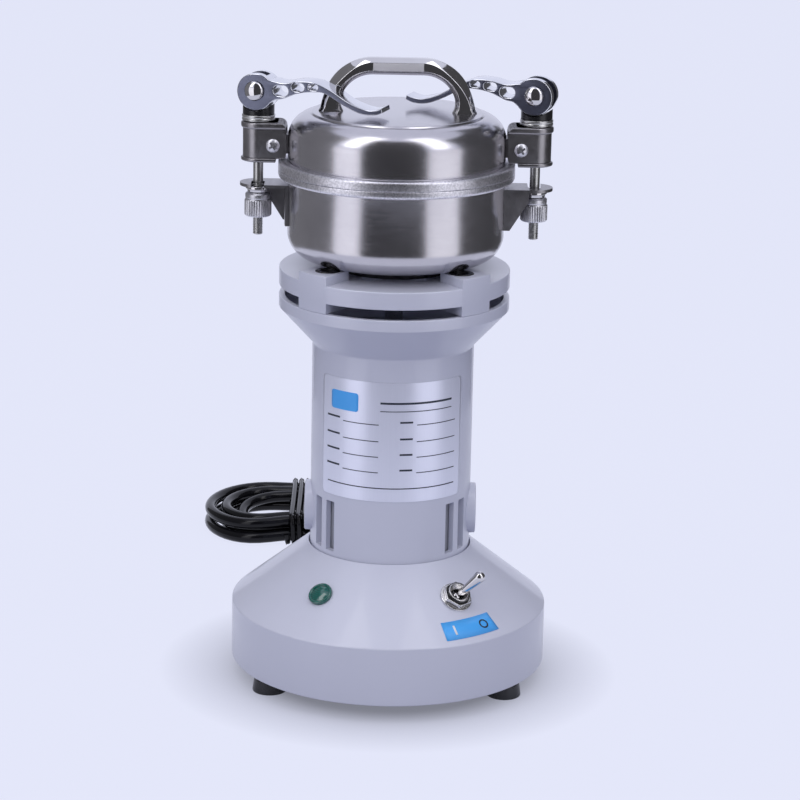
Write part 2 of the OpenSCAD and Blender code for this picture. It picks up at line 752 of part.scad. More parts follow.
module lid_gasket() color([0.75, 0.75, 0.72]) translate([0, 0, z_lid - (seal_gap - part_gap)])
    tube(gasket_in + gasket_w - fixed_fit, gasket_in + fixed_fit,
        gasket_h - part_gap + seal_gap - part_gap);

// Handle: a bar of eight-sided section, bent down to two flared feet
module handle_section() polygon([
    [-handle_hgt / 2 + handle_chamfer, -handle_w / 2], [handle_hgt / 2 - handle_chamfer, -handle_w / 2],
    [handle_hgt / 2, -handle_w / 2 + handle_chamfer], [handle_hgt / 2, handle_w / 2 - handle_chamfer],
    [handle_hgt / 2 - handle_chamfer, handle_w / 2], [-handle_hgt / 2 + handle_chamfer, handle_w / 2],
    [-handle_hgt / 2, handle_w / 2 - handle_chamfer], [-handle_hgt / 2, -handle_w / 2 + handle_chamfer]
]);
handle_arc_z = z_top + handle_rise - handle_bend;
module lid_handle() color([0.78, 0.78, 0.80]) difference() {
    union() {
        translate([-handle_bar / 2, 0, z_top + handle_rise]) rotate([0, 90, 0]) linear_extrude(handle_bar)
            handle_section();
        for (s = [0, 1]) rotate([0, 0, s * 180]) translate([handle_bar / 2, 0, handle_arc_z]) {
            rotate([90, 0, 0]) rotate_extrude(angle = 90) translate([handle_bend, 0]) handle_section();
            translate([handle_bend, 0, -(handle_arc_z - z_top)]) linear_extrude(handle_arc_z - z_top + tiny)
                square([handle_foot_w, handle_foot_d], center = true);
        }
    }
    for (s = [-1, 1]) translate([s * (handle_bar / 2 + handle_bend), 0, z_top - overrun])
        cylinder(r = handle_screw_r + fixed_fit, h = handle_screw_r * 2 + overrun);
}
module handle_screws() color([0.72, 0.72, 0.74]) for (s = [-1, 1])
    translate([s * (handle_bar / 2 + handle_bend), 0, z_top - sheet_t]) mirror([0, 0, 1])
        screw(handle_screw_r, sheet_t + 2 * handle_screw_r - part_gap, handle_head_r, handle_head_h);

// Lug on the lid's wall, box of bent sheet round the rod, and the screw that joins them
module lid_lugs() color([0.60, 0.60, 0.64]) both() difference() {
    translate([-bowl_r - lug_reach, -lug_half, z_box + lug_z_low])
        cube([lug_reach + sheet_t, 2 * lug_half, z_box_top - z_box - box_lip_h - 2 * lug_z_low]);
    cylinder(r = bowl_r + weld_gap, h = z_top);
    translate([-cross_x, 0, cross_z]) rotate([90, 0, 0])
        cylinder(r = cross_r + fixed_fit, h = 4 * box_r, center = true);
}
module box_outline(grow) {
    translate([-rod_x, 0]) circle(r = box_r + grow);
    translate([-rod_x, -box_r - grow]) square([rod_x - bowl_r - box_wall_gap, 2 * (box_r + grow)]);
}
module clamp_boxes() color([0.36, 0.35, 0.34]) both() difference() {
    union() {
        intersection() {
            union() {
                translate([0, 0, z_box]) linear_extrude(z_box_top - z_box) box_outline(0);
                translate([0, 0, z_box_top - box_lip_h]) linear_extrude(box_lip_h) box_outline(box_lip);
            }
            translate([-bowl_r - box_wall_gap, 0, z_box]) rotate([90, 0, 0])
                linear_extrude(4 * box_r, center = true)
                union() {
                    translate([-rod_reach * 2, 0]) square([rod_reach * 2 - box_round, z_box_top - z_box]);
                    translate([-2 * box_round, box_round])
                        square([2 * box_round, z_box_top - z_box - 2 * box_round]);
                    for (y = [box_round, z_box_top - z_box - box_round]) translate([-box_round, y])
                        circle(r = box_round);
                }
        }
        intersection() {
            translate([0, 0, z_box - box_foot_h]) linear_extrude(box_foot_h + tiny) box_outline(box_lip);
            translate([-box_foot_start - 3 * rod_reach, -rod_reach, z_box - box_foot_h])
                cube([3 * rod_reach, 2 * rod_reach, 2 * box_foot_h]);
        }
    }
    translate([0, 0, z_box + lug_z_low - part_gap])
        linear_extrude(z_box_top - z_box - box_lip_h - 2 * lug_z_low + 2 * part_gap)
        union() {
            translate([-rod_x, 0]) circle(r = box_r - box_t);
            translate([-rod_x, -box_r + box_t]) square([rod_x, 2 * (box_r - box_t)]);
        }
    rod_place() cylinder(r = rod_r + run_fit, h = 2 * z_top);
    translate([-cross_x, 0, cross_z]) rotate([90, 0, 0])
        cylinder(r = cross_r + fixed_fit, h = 4 * box_r, center = true);
}
module cross_screws() color([0.80, 0.80, 0.82]) both() translate([-cross_x, -box_r, cross_z])
    rotate([90, 0, 0]) difference() {
    screw(cross_r, 2 * box_r + 2 * cross_head_h, cross_head_r, cross_head_h);
    for (a = [45, 135]) rotate([0, 0, a]) translate([-cross_head_r / 1.6, -cross_r / 5, cross_head_h / 2])
        cube([cross_head_r * 1.25, cross_r / 2.5, cross_head_h]);
}
module thrust_rings() color([0.58, 0.57, 0.53]) both() rod_place() translate([0, 0, z_ring])
    tube(ring_r, rod_r + run_fit, ring_h);

// Saddle: a black cushion with a hollow that the cam slides in
module cam_saddle() color([0.07, 0.07, 0.07]) rod_place() rotate([0, 0, -lever_skew]) difference() {
    translate([0, 0, z_saddle]) cylinder(r = saddle_r, h = saddle_floor + saddle_rise);
    translate([0, 0, z_pin]) rotate([90, 0, 0])
        cylinder(r = cam_r + cam_clear, h = 4 * saddle_r, center = true);
    cylinder(r = rod_r + run_fit, h = 2 * z_top);
}
module clamp_rod() color([0.66, 0.65, 0.60]) rod_place() rotate([0, 0, -lever_skew]) difference() {
    union() {
        translate([0, 0, z_flange - rod_tail]) cylinder(r = rod_r, h = z_pin - z_flange + rod_tail);
        translate([0, 0, z_pin]) rotate([90, 0, 0]) cylinder(r = eye_r, h = eye_w, center = true);
    }
    translate([0, 0, z_pin]) rotate([90, 0, 0])
        cylinder(r = pin_r + fixed_fit, h = 2 * eye_w, center = true);
}
module pivot_pin() color([0.82, 0.82, 0.84]) rod_place() rotate([0, 0, -lever_skew])
    translate([0, 0, z_pin]) rotate([90, 0, 0])
    rotate_extrude() polygon(concat(
        [[0, -lever_w / 2 - part_gap - dome_h]],
        [for (k = [1 : 6]) [dome_r * sin(15 * k), -lever_w / 2 - part_gap - dome_h * cos(15 * k)]],
        [[pin_r, -lever_w / 2 - part_gap], [pin_r, lever_w / 2 + part_gap]],
        [for (k = [6 : -1 : 1]) [dome_r * sin(15 * k), lever_w / 2 + part_gap + dome_h * cos(15 * k)]],
        [[0, lever_w / 2 + part_gap + dome_h]]
    ));

// Cam lever: the cam's radius falls at a steady rate from its underside, round its back, to its top
cam_rate = cam_drop / lever_travel;
function cam_radius(turn) = cam_r - cam_rate * max(0, min(lever_travel, turn));
module cam_outline() polygon([for (k = [0 : 71]) let (turn = 5 * k, a = -90 - turn)
    let (r = turn <= 180 ? cam_radius(turn) : cam_r - cam_drop * max(0, (270 - turn) / 90))
    [r * cos(a), r * sin(a)]]);
module arm_outline() polygon(lever_l * concat(smooth(top_edge_shares, 4), smooth(low_edge_shares, 4)));
module clamp_lever() color([0.60, 0.62, 0.68]) rod_place() rotate([0, 0, -lever_skew])
    translate([0, 0, z_pin]) difference() {
    rotate([90, 0, 0]) linear_extrude(lever_w, center = true) difference() {
        union() {
            cam_outline();
            arm_outline();
        }
        circle(r = pin_r + run_fit);
        for (h = hole_shares) translate([h[0] * lever_l, h[1] * lever_l])
            slot2(2 * h[2] * lever_l, 2 * h[3] * lever_l);
    }
    translate([fork_depth - 4 * cam_r, -fork_gap / 2, -2 * cam_r]) cube([4 * cam_r, fork_gap, 4 * cam_r]);
}

// Ear on the bowl: a slotted plate under the rod, one gusset and a flange welded to the wall
module ear() {
    difference() {
        union() {
            translate([0, 0, z_ear - ear_t]) linear_extrude(ear_t) union() {
                translate([-rod_x, 0]) circle(r = ear_r);
                translate([-rod_x, -ear_r]) square([rod_reach + ear_t, 2 * ear_r]);
            }
            translate([0, ear_r, 0]) rotate([90, 0, 0]) linear_extrude(ear_t) polygon([
                [-bowl_r + ear_t, z_ear - tiny], [-rod_x + gusset_out, z_ear - tiny],
                [-rod_x + gusset_out, z_ear - 2 * gusset_out],
                [-bowl_r - gusset_foot, z_ear - ear_gusset_drop], [-bowl_r + ear_t, z_ear - ear_gusset_drop]
            ]);
            rotate([0, 0, 180 - weld_half_angle]) rotate_extrude(angle = 2 * weld_half_angle)
                translate([bowl_r, z_ear - ear_gusset_drop]) square([ear_t, ear_gusset_drop]);
        }
        cylinder(r = bowl_r + weld_gap, h = z_top);
        translate([-rod_x, 0, z_ear - 2 * ear_t]) cylinder(d = ear_slot, h = 3 * ear_t);
        translate([-rod_x - ear_slot / 2, -2 * ear_r, z_ear - 2 * ear_t])
            cube([ear_slot, 2 * ear_r, 3 * ear_t]);
    }
}
module ear_brackets() color([0.34, 0.33, 0.32]) both() ear();
module nut_collar() color([0.84, 0.84, 0.86]) rod_place() translate([0, 0, z_collar - collar_h])
    tube(collar_flange_r, rod_r + run_fit, collar_h);
module knurled_nut() color([0.66, 0.66, 0.70]) rod_place()
    translate([0, 0, z_collar - collar_h - part_gap - nut_body_h]) difference() {
    union() {
        cylinder(r = nut_r, h = nut_body_h - nut_top_h);
        cylinder(r = nut_smooth_r, h = nut_body_h);
    }
    for (k = [0 : flute_count - 1]) rotate([0, 0, k * 360 / flute_count]) translate([nut_r, 0, -overrun])
        cylinder(r = flute_r, h = nut_body_h + 2 * overrun, $fn = 16);
    translate([0, 0, -overrun]) cylinder(r = rod_r + run_fit, h = nut_body_h + 2 * overrun);
}

// Rotor: shaft, armature, commutator, fan and blades
module shaft_step(r, from, to) translate([0, 0, from]) cylinder(r = r, h = to - from);
module rotor_shaft() color([0.74, 0.74, 0.76]) union() {
    shaft_step(shaft_low_r, z_motor + bracket_t / 2, z_motor + bracket_t + low_race_h + journal_over);
    shaft_step(shaft_mid_r, z_motor + bracket_t + low_race_h + journal_over - tiny, hub_z);
    shaft_step(shaft_top_r, hub_z - tiny, z_blade);
    shaft_step(collar_r, z_bowl + sheet_t + part_gap * 2, z_blade);
    shaft_step(shaft_tip_r, z_blade - tiny, z_blade + 2 * blade_t + blade_space + nut_h + nut_dome / 2);
}
module armature_core() color([0.42, 0.42, 0.44]) translate([0, 0, z_stack]) linear_extrude(stack_h)
    difference() {
    circle(r = core_r);
    circle(r = shaft_mid_r);
    for (k = [0 : core_slots - 1]) rotate(k * 360 / core_slots)
        translate([core_r - core_slot_depth, -core_slot_w / 2]) square([core_r, core_slot_w]);
}
module armature_windings() color([0.70, 0.38, 0.18]) for (z = [z_stack - winding_h, z_stack_top])
    translate([0, 0, z]) rotate_extrude()
    translate([shaft_mid_r, 0]) union() {
        square([winding_r - shaft_mid_r - winding_h / 2, winding_h]);
        translate([winding_r - shaft_mid_r - winding_h / 2, winding_h / 2])
            circle(r = winding_h / 2, $fn = 32);
    }
module commutator() color([0.80, 0.48, 0.26]) translate([0, 0, brush_z - commutator_h / 2]) difference() {
    tube(commutator_r, shaft_mid_r, commutator_h);
    for (k = [0 : commutator_bars - 1]) rotate([0, 0, k * 360 / commutator_bars])
        translate([commutator_r - bar_depth, -bar_gap / 2, -overrun])
        cube([2 * bar_depth, bar_gap, commutator_h + 2 * overrun]);
}
module cooling_fan() color([0.16, 0.16, 0.17]) translate([0, 0, z_fan]) difference() {
    union() {
        cylinder(r = fan_r, h = fan_disc_t);
        cylinder(r = fan_hub_r, h = fan_h);
        for (k = [0 : fan_blades - 1]) rotate([0, 0, k * 360 / fan_blades])
            translate([fan_in, -fan_blade_t / 2, 0])
            rotate([0, 0, 25]) cube([(fan_r - fan_in) * 0.95, fan_blade_t, fan_h]);
    }
    translate([0, 0, -overrun]) cylinder(r = shaft_mid_r, h = fan_h + 2 * overrun);
}
// A blade: a flat bar with its two opposite edges ground
module blade(reach) difference() {
    linear_extrude(blade_t) difference() {
        union() {
            square([2 * reach, blade_w], center = true);
            circle(r = blade_hub_r);
        }
        circle(r = shaft_tip_r);
    }
    for (s = [0, 1]) rotate([0, 0, s * 180]) translate([blade_hub_r + blade_bevel, -blade_w / 2, 0])
        rotate([0, 90, 0])
            linear_extrude(reach) polygon([
                [-blade_t - overrun, -overrun], [-blade_t - overrun, blade_bevel + overrun],
                [-blade_t, blade_bevel], [-blade_t / 4, 0], [-blade_t / 4, -overrun]
            ]);
}
module blades() color([0.70, 0.71, 0.74]) {
    translate([0, 0, z_blade]) blade(blade_low_r);
    translate([0, 0, z_blade + blade_t + blade_space]) rotate([0, 0, 90]) blade(blade_top_r);
    translate([0, 0, z_blade + blade_t + tiny]) tube(collar_r, shaft_tip_r, blade_space - 2 * tiny);
}
module blade_nut() color([0.76, 0.76, 0.78]) translate([0, 0, z_blade + 2 * blade_t + blade_space])
    difference() {
    union() {
        cylinder(r = nut_af_r, h = nut_h, $fn = 6);
        cylinder(r = nut_smooth_r, h = nut_h + nut_dome);
    }
    translate([0, 0, -overrun]) cylinder(r = shaft_tip_r, h = nut_h + nut_dome / 2 + overrun);
}

// Switch, toggle and lamp on the cone
module switch_body() color([0.16, 0.16, 0.17]) on_cone(panel_angle) difference() {
    union() {
        translate([-switch_w / 2, -switch_d / 2, -shell_t - switch_depth])
            cube([switch_w, switch_d, switch_depth - 2 * part_gap]);
        translate([0, 0, -shell_t - overrun]) cylinder(r = bush_r, h = shell_t + overrun + bush_h);
        for (s = [-1, 1]) translate([s * switch_w / 4 - overrun / 2, -overrun,
            -shell_t - switch_depth - terminal_l])
            cube([overrun, 2 * overrun, terminal_l + overrun]);
    }
    translate([0, 0, tiny]) cylinder(r1 = bush_throat, r2 = bush_mouth, h = bush_h);
    translate([0, 0, -shell_t]) cylinder(r = bush_throat, h = shell_t + 2 * tiny);
}
module switch_nut() color([0.82, 0.82, 0.84]) on_cone(panel_angle) {
    tube(washer_r, bush_r + fixed_fit, washer_t);
    translate([0, 0, washer_t]) difference() {
        cylinder(r = switch_nut_r, h = switch_nut_h, $fn = 6);
        translate([0, 0, -overrun]) cylinder(r = bush_r + fixed_fit, h = switch_nut_h + 2 * overrun);
    }
}
module toggle() color([0.84, 0.84, 0.86]) on_cone(panel_angle) rotate([0, toggle_lean, 0]) union() {
    sphere(r = ball_r, $fn = 32);
    cylinder(r1 = bat_low_r, r2 = bat_tip_r, h = bat_l - bat_tip_r);
    translate([0, 0, bat_l - bat_tip_r]) sphere(r = bat_tip_r, $fn = 32);
}
module lamp_body() color([0.14, 0.15, 0.15]) on_cone(-panel_angle) difference() {
    union() {
        translate([0, 0, -lamp_depth]) cylinder(r = lamp_r, h = lamp_depth);
        cylinder(r = bezel_r, h = bezel_h);
    }
    translate([0, 0, -shell_t]) cylinder(r = lamp_r - overrun, h = 2 * shell_t);
}
module lamp_lens() color([0.05, 0.55, 0.35]) on_cone(-panel_angle) rotate_extrude() polygon(concat(
    [[0, -shell_t / 2], [lamp_r - overrun - fixed_fit, -shell_t / 2],
    [lamp_r - overrun - fixed_fit, bezel_h], [lens_r, bezel_h]],
    [for (k = [1 : 6]) [lens_r * cos(15 * k), bezel_h + lens_dome * sin(15 * k)]]
));
module terminal_block() color([0.85, 0.84, 0.78])
    translate([-block_l / 2, block_y - block_w / 2, z_base + plate_t]) difference() {
    cube([block_l, block_w, block_h]);
    for (k = [1 : block_holes]) translate([k * block_l / (block_holes + 1), block_w / 2, block_h / 2]) {
        cylinder(r = block_w / 7, h = block_h);
        rotate([90, 0, 0]) cylinder(r = block_w / 9, h = 2 * block_w, center = true, $fn = 24);
    }
}

// Mains lead: grip in the base, free stretch, hank with its tie, plug
module cord_grip() color([0.05, 0.05, 0.06]) translate([0, base_r, grip_z]) rotate([-90, 0, 0])
    difference() {
    union() {
        cylinder(r = grip_r, h = grip_head);
        translate([0, 0, -2 * shell_t]) cylinder(r = grip_tip_r, h = 2 * shell_t + tiny);
        translate([0, 0, grip_head - tiny])
            cylinder(r1 = grip_r - overrun, r2 = grip_tip_r, h = grip_l + tiny);
    }
    for (k = [1 : grip_grooves]) let (share = k / (grip_grooves + 1))
        translate([0, 0, grip_head + share * grip_l]) rotate_extrude()
            translate([grip_r - overrun - share * (grip_r - overrun - grip_tip_r) - groove_d, 0])
                square([grip_r, overrun]);
}
// The hank: turns of one cord that spiral in on the lower layer and out again on the upper one
function waist(x) = 1 - hank_waist * exp(-pow((x - waist_x) / waist_reach, 2));
function hank_width(t) = hank_inner + hank_step * abs(t - hank_turns / 2);
function climb(t) = let (s = max(0, min(1, 2 * (t - hank_turns / 2) + 0.5))) s * s * (3 - 2 * s);
// One turn: half a run to the left, a bend, the back run, a bend and half a run, with shares of the turn
run_shares = [[0, 0], [0.085, -1], [0.415, -1], [0.585, 1], [0.915, 1], [1, 0]];
bend_shares = [[0, -0.25], [0.085, -0.25], [0.415, -0.75], [0.585, -0.75], [0.915, -1.25], [1, -1.25]];
function oval(t) =
    let (u = t - floor(t), a = 360 * lookup(u, bend_shares), w = hank_width(t))
    let (x = hank_x + hank_straight * lookup(u, run_shares) + w * cos(a))
    [x, hank_y + w * sin(a) * waist(x),
        floor_z + hank_layer * climb(t) + tie_lift * exp(-pow((x - waist_x) / waist_reach, 2))];
hank_total = hank_rings * hank_turns;
hank_points = [for (k = [0 : hank_total]) oval(k / hank_rings)];
// The hank's ends run straight for one diameter, square to what they meet
hank_start = unit(hank_points[0] - hank_points[1]);
hank_end = unit(hank_points[hank_total] - hank_points[hank_total - 1]);
hank_path = concat([hank_points[0] + cord_d * hank_start], hank_points,
    [hank_points[hank_total] + cord_d * hank_end]);
lead_path = concat(smooth(lead_points, 2), [hank_path[0]]);
tail_path = concat([hank_path[len(hank_path) - 1]], smooth(tail_points, 2));
module cord_lead() color([0.05, 0.05, 0.06]) sweep(lead_path, cord_r, cord_sides, [[0, 1, 0], -hank_start]);
module cord_hank() color([0.05, 0.05, 0.06]) sweep(hank_path, cord_r, 6, [-hank_start, hank_end]);
module cord_tail() color([0.05, 0.05, 0.06]) sweep(tail_path, cord_r, cord_sides, [hank_end, [-1, 0, 0]]);
function gap_of(i) = min([for (j = [0 : hank_total])
    abs(i - j) > hank_rings / 3 ? norm(hank_points[i] - hank_points[j]) : 10 * cord_d]);
hank_gap = min([for (i = [0 : hank_total]) gap_of(i)]) - cord_d;
echo(hank_gap = hank_gap);
function path_length(p) =
    len(p) < 2 ? 0 : norm(p[1] - p[0]) + path_length([for (i = [1 : len(p) - 1]) p[i]]);
echo(lead_length = path_length(lead_path), hank_length = path_length(hank_path));
echo(tail_length = path_length(tail_path));
tie_half = (hank_inner + hank_step * hank_turns / 2) * (1 - hank_waist) + cord_r + tie_gap;
tie_h = hank_layer + cord_d + 2 * tie_gap;
module tie_outline(grow) translate([-tie_half - grow, -grow])
    square([2 * (tie_half + grow), tie_h + 2 * grow]);
module cord_tie() color([0.08, 0.08, 0.09]) translate([waist_x - tie_w / 2, hank_y, tie_t])
    rotate([90, 0, 90]) linear_extrude(tie_w) difference() {
        tie_outline(tie_t);
        tie_outline(0);
    }
module plug_place() translate(tail_points[len(tail_points) - 1]) rotate([0, -90, 0]) children();
module plug_body() color([0.06, 0.06, 0.07]) plug_place() union() {
    cylinder(r1 = plug_neck_r - overrun, r2 = plug_neck_r, h = plug_neck_l + tiny);
    translate([-plug_h / 2, -plug_w / 2, plug_neck_l]) cube([plug_h, plug_w, plug_l]);
}
module plug_pins() color([0.80, 0.74, 0.55]) plug_place() translate([0, 0, plug_neck_l + plug_l]) {
    translate([plug_h / 4 - pin_w / 2, -pin_t / 2, 0]) cube([pin_w, pin_t, pin_l]);
    for (s = [-1, 1]) translate([-plug_h / 4, s * pin_spread, 0]) rotate([0, 0, s * 30])
        translate([-pin_w / 2, -pin_t / 2, 0]) cube([pin_w, pin_t, pin_l]);
}

base_shell();
bottom_plate();
rubber_feet();
base_screws();
motor_housing();
motor_sleeve();
motor_brackets();
motor_bearings();
stator_core();
field_coils();
motor_bolts();
brush_caps();
brush_holders();
brush_sets();
chamber_seat();
seat_grommets();
chamber_screws();
bowl();
shaft_seal();
ear_brackets();
switch_body();
switch_nut();
lamp_body();
lamp_lens();
terminal_block();
cord_grip();
cord_lead();
cord_hank();
cord_tail();
cord_tie();
plug_body();
plug_pins();
rotor_shaft();
armature_core();
armature_windings();
commutator();
cooling_fan();
blades();
blade_nut();
lid_shell();
lid_gasket();
lid_handle();
handle_screws();
lid_lugs();
clamp_boxes();
cross_screws();
thrust_rings();
side(0) cam_saddle();  // cam_saddle_left
side(1) cam_saddle();  // cam_saddle_right
side(0) clamp_rod();  // clamp_rod_left
side(1) clamp_rod();  // clamp_rod_right
side(0) pivot_pin();  // pivot_pin_left
side(1) pivot_pin();  // pivot_pin_right
side(0) clamp_lever();  // clamp_lever_left
side(1) clamp_lever();  // clamp_lever_right
side(0) nut_collar();  // nut_collar_left
side(1) nut_collar();  // nut_collar_right
side(0) knurled_nut();  // knurled_nut_left
side(1) knurled_nut();  // knurled_nut_right
toggle();
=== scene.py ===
"""Analytical lab mill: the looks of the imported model, front towards -Y.

Each function makes one sub-part and says which CAD nodes it stands for. Lengths are written in
millimetres and become metres where a mesh is made. Whatever the frame knows is taken from it.
"""
import json
import math

import bmesh
import bpy
from mathutils import Matrix, Vector

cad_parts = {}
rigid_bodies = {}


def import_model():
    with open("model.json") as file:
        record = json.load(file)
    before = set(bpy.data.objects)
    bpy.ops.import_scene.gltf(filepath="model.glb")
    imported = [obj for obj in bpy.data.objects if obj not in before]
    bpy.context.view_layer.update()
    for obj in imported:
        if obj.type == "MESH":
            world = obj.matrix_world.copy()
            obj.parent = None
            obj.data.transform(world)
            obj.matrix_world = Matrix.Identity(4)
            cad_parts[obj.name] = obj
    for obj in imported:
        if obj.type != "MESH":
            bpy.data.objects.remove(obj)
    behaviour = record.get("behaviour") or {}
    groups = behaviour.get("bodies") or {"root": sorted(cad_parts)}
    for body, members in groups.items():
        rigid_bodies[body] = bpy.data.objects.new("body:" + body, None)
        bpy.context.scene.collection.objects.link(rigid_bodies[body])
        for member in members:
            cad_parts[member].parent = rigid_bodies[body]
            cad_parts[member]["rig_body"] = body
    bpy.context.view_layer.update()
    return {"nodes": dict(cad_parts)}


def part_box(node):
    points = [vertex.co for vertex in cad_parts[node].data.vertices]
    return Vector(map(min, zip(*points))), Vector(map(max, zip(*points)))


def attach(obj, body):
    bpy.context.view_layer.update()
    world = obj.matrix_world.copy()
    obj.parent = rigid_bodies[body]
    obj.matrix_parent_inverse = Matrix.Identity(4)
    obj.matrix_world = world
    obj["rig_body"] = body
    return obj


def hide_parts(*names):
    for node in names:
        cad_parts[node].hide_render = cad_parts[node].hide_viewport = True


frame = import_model()
NODES = frame["nodes"]

MM = 0.001
HERE = Matrix.Identity(4)
AXIS_X = Vector((1, 0, 0))
AXIS_Z = Vector((0, 0, 1))
CASTING_STEPS = 240
SPUN_STEPS = 256
SMOOTH_ANGLE = math.radians(32)
SAME_POINT = 0.002 * MM
EDGE_ANGLE = math.radians(50)


# Sizes that several sub-parts share, taken from the frame

def low(node):
    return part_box(node)[0] / MM


def high(node):
    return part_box(node)[1] / MM


def span(node):
    return low(node).z, high(node).z


BASE_R = high("base_shell").x
Z_BASE, Z_CONE = span("base_shell")
Z_EDGE = Z_BASE + 29.5
HOLE_R = 41
CONE_TILT = math.atan2(Z_CONE - Z_EDGE, BASE_R - HOLE_R)
NECK_R = 40.5
SHELL_T = 3
Z_NECK = 174
Z_FLARE = 192.4
Z_RIM = 198
Z_SEAT = 203.2
Z_HUB = low("chamber_seat").z
Z_STEP = 212
Z_PAD = 216.6
RIM_R = high("chamber_seat").x
Z_BOWL, Z_MOUTH = span("bowl")
BOWL_R = 53.7
FLANGE_R = high("bowl").x
SHEET_T = 1.5
Z_FLANGE = Z_MOUTH - 3.9
Z_LID, Z_TOP = span("lid_shell")
Z_LID_WALL = Z_LID + 4.3
LID_STEP_R = BOWL_R - 11
ROD_X = 68.3
ROD_R = 2.5
Z_PIN = sum(span("pivot_pin_left")) / 2
LEVER_W = 12.6
LEVER_L = 66
LEVER_SKEW = 18
CAM_R = 9.9
CAM_DROP = 1.5
LEVER_TRAVEL = 165
PANEL_R = 59
PANEL_ANGLE = 34.5
PILLAR_STARTS = (35, 126, 215, 306)
PILLAR_ANGLE = 19
SIDES = ((0, "left"), (1, "right"))


# Places, in millimetres and degrees

def shift(x=0.0, y=0.0, z=0.0):
    return Matrix.Translation((x, y, z))


def turn(angle, axis="Z"):
    return Matrix.Rotation(math.radians(angle), 4, axis)


def cone_z(r):
    return Z_CONE - (r - HOLE_R) * math.tan(CONE_TILT)


def around(angle, reach, z=0.0):
    """A place on a circle, from the front towards +X, with its Y axis pointing inwards."""
    return turn(angle) @ shift(0, -reach, z)


def on_cone(angle):
    """A frame on the cone: Z out of the surface, X round the mill and Y uphill."""
    return around(angle, PANEL_R, cone_z(PANEL_R)) @ Matrix.Rotation(CONE_TILT, 4, "X")


def rod_place(side, skew=0):
    """The clamp rod's axis, with X towards the lid."""
    return turn(180 * side) @ shift(-ROD_X) @ turn(-skew)


def pin_place(side):
    """The pivot pin's middle, with Z along the pin."""
    return rod_place(side, LEVER_SKEW) @ shift(z=Z_PIN) @ turn(90, "X")


# Outlines

def fan(start, end, steps):
    """Even angles in radians, between two in degrees."""
    return [math.radians(start + (end - start) * k / steps) for k in range(steps + 1)]


def arc(cx, cy, r, start, end, steps):
    return [(cx + r * math.cos(a), cy + r * math.sin(a)) for a in fan(start, end, steps)]


def round_mill(r, a, z):
    """A point at a radius, with its angle in radians from the front towards +X."""
    return r * math.sin(a), -r * math.cos(a), z


def rounded(corners, steps=5):
    """A closed outline from (x, y) and (x, y, radius) corners."""
    points = []
    for index, (x, y, *radius) in enumerate(corners):
        if not any(radius):
            points.append((x, y))
            continue
        here = Vector((x, y))
        back = Vector(corners[index - 1][:2]) - here
        ahead = Vector(corners[(index + 1) % len(corners)][:2]) - here
        half = back.angle(ahead) / 2
        reach = min(radius[0] / math.tan(half), back.length / 2, ahead.length / 2)
        start = here + back.normalized() * reach
        end = here + ahead.normalized() * reach
        for k in range(steps + 1):
            share = k / steps
            point = start * (1 - share) ** 2 + here * 2 * share * (1 - share) + end * share ** 2
            points.append((point.x, point.y))
    return points


def rectangle(width, height, r, cx=0.0, cy=0.0):
    w = width / 2
    h = height / 2
    return rounded([(cx - w, cy - h, r), (cx + w, cy - h, r), (cx + w, cy + h, r), (cx - w, cy + h, r)])


def disc(r, steps=48):
    return arc(0, 0, r, 0, 360, steps)[:-1]


def smooth_line(points, steps):
    """A Catmull-Rom curve through the points."""
    points = [Vector(p) for p in points]
    line = []
    for i in range(len(points) - 1):
        a = points[max(i - 1, 0)]
        b = points[i]
        c = points[i + 1]
        d = points[min(i + 2, len(points) - 1)]
        for k in range(steps):
            t = k / steps
            line.append(b + t * (c - a) / 2 + t * t * (a - 2.5 * b + 2 * c - d / 2)
                        + t * t * t * (3 * b - 3 * c + d - a) / 2)
    return line + [points[-1]]


# Meshes

def linked(name, data):
    made = bpy.data.objects.new(name, data)
    bpy.context.scene.collection.objects.link(made)
    return made


def smooth(mesh):
    mesh.shade_smooth()
    mesh.set_sharp_from_angle(angle=SMOOTH_ANGLE)


def clean(mesh, fill=False):
    """Joins points that coincide, or fills open ends, and turns the faces outwards."""
    made = bmesh.new()
    made.from_mesh(mesh)
    if fill:
        bmesh.ops.holes_fill(made, edges=made.edges)
    else:
        bmesh.ops.remove_doubles(made, verts=made.verts, dist=SAME_POINT)
    bmesh.ops.recalc_face_normals(made, faces=made.faces)
    made.to_mesh(mesh)
    made.free()


def evaluated(piece):
    """The mesh of a curve, or of a piece with its modifiers."""
    bpy.context.view_layer.update()
    return bpy.data.meshes.new_from_object(piece.evaluated_get(bpy.context.evaluated_depsgraph_get()))


def shown(name, mesh, place):
    """A smooth-shaded object at the origin, with its place in its mesh."""
    in_metres = place.copy()
    in_metres.translation *= MM
    mesh.transform(in_metres)
    smooth(mesh)
    return linked(name, mesh)


def from_grid(name, rows, closed_rows, closed_columns, place=HERE):
    """Quads over a grid of points, rows by columns."""
    mesh = bpy.data.meshes.new(name)
    width = len(rows[0])
    row_count = len(rows) if closed_rows else len(rows) - 1
    column_count = width if closed_columns else width - 1
    faces = []
    for i in range(row_count):
        for k in range(column_count):
            a = i * width
            b = (i + 1) % len(rows) * width
            n = (k + 1) % width
            faces.append((a + k, a + n, b + n, b + k))
    mesh.from_pydata([[c * MM for c in point] for row in rows for point in row], [], faces)
    clean(mesh)
    return shown(name, mesh, place)


def lathe(name, profile, place, steps, ripple=None):
    """A closed (radius, z) profile turned round Z. ripple(angle, r) may change the radius."""
    rows = []
    for i in range(steps):
        a = math.tau * i / steps
        radii = [ripple(a, r) if ripple else r for r, _ in profile]
        rows.append([(r * math.cos(a), r * math.sin(a), z) for r, (_, z) in zip(radii, profile)])
    return from_grid(name, rows, True, True, place)


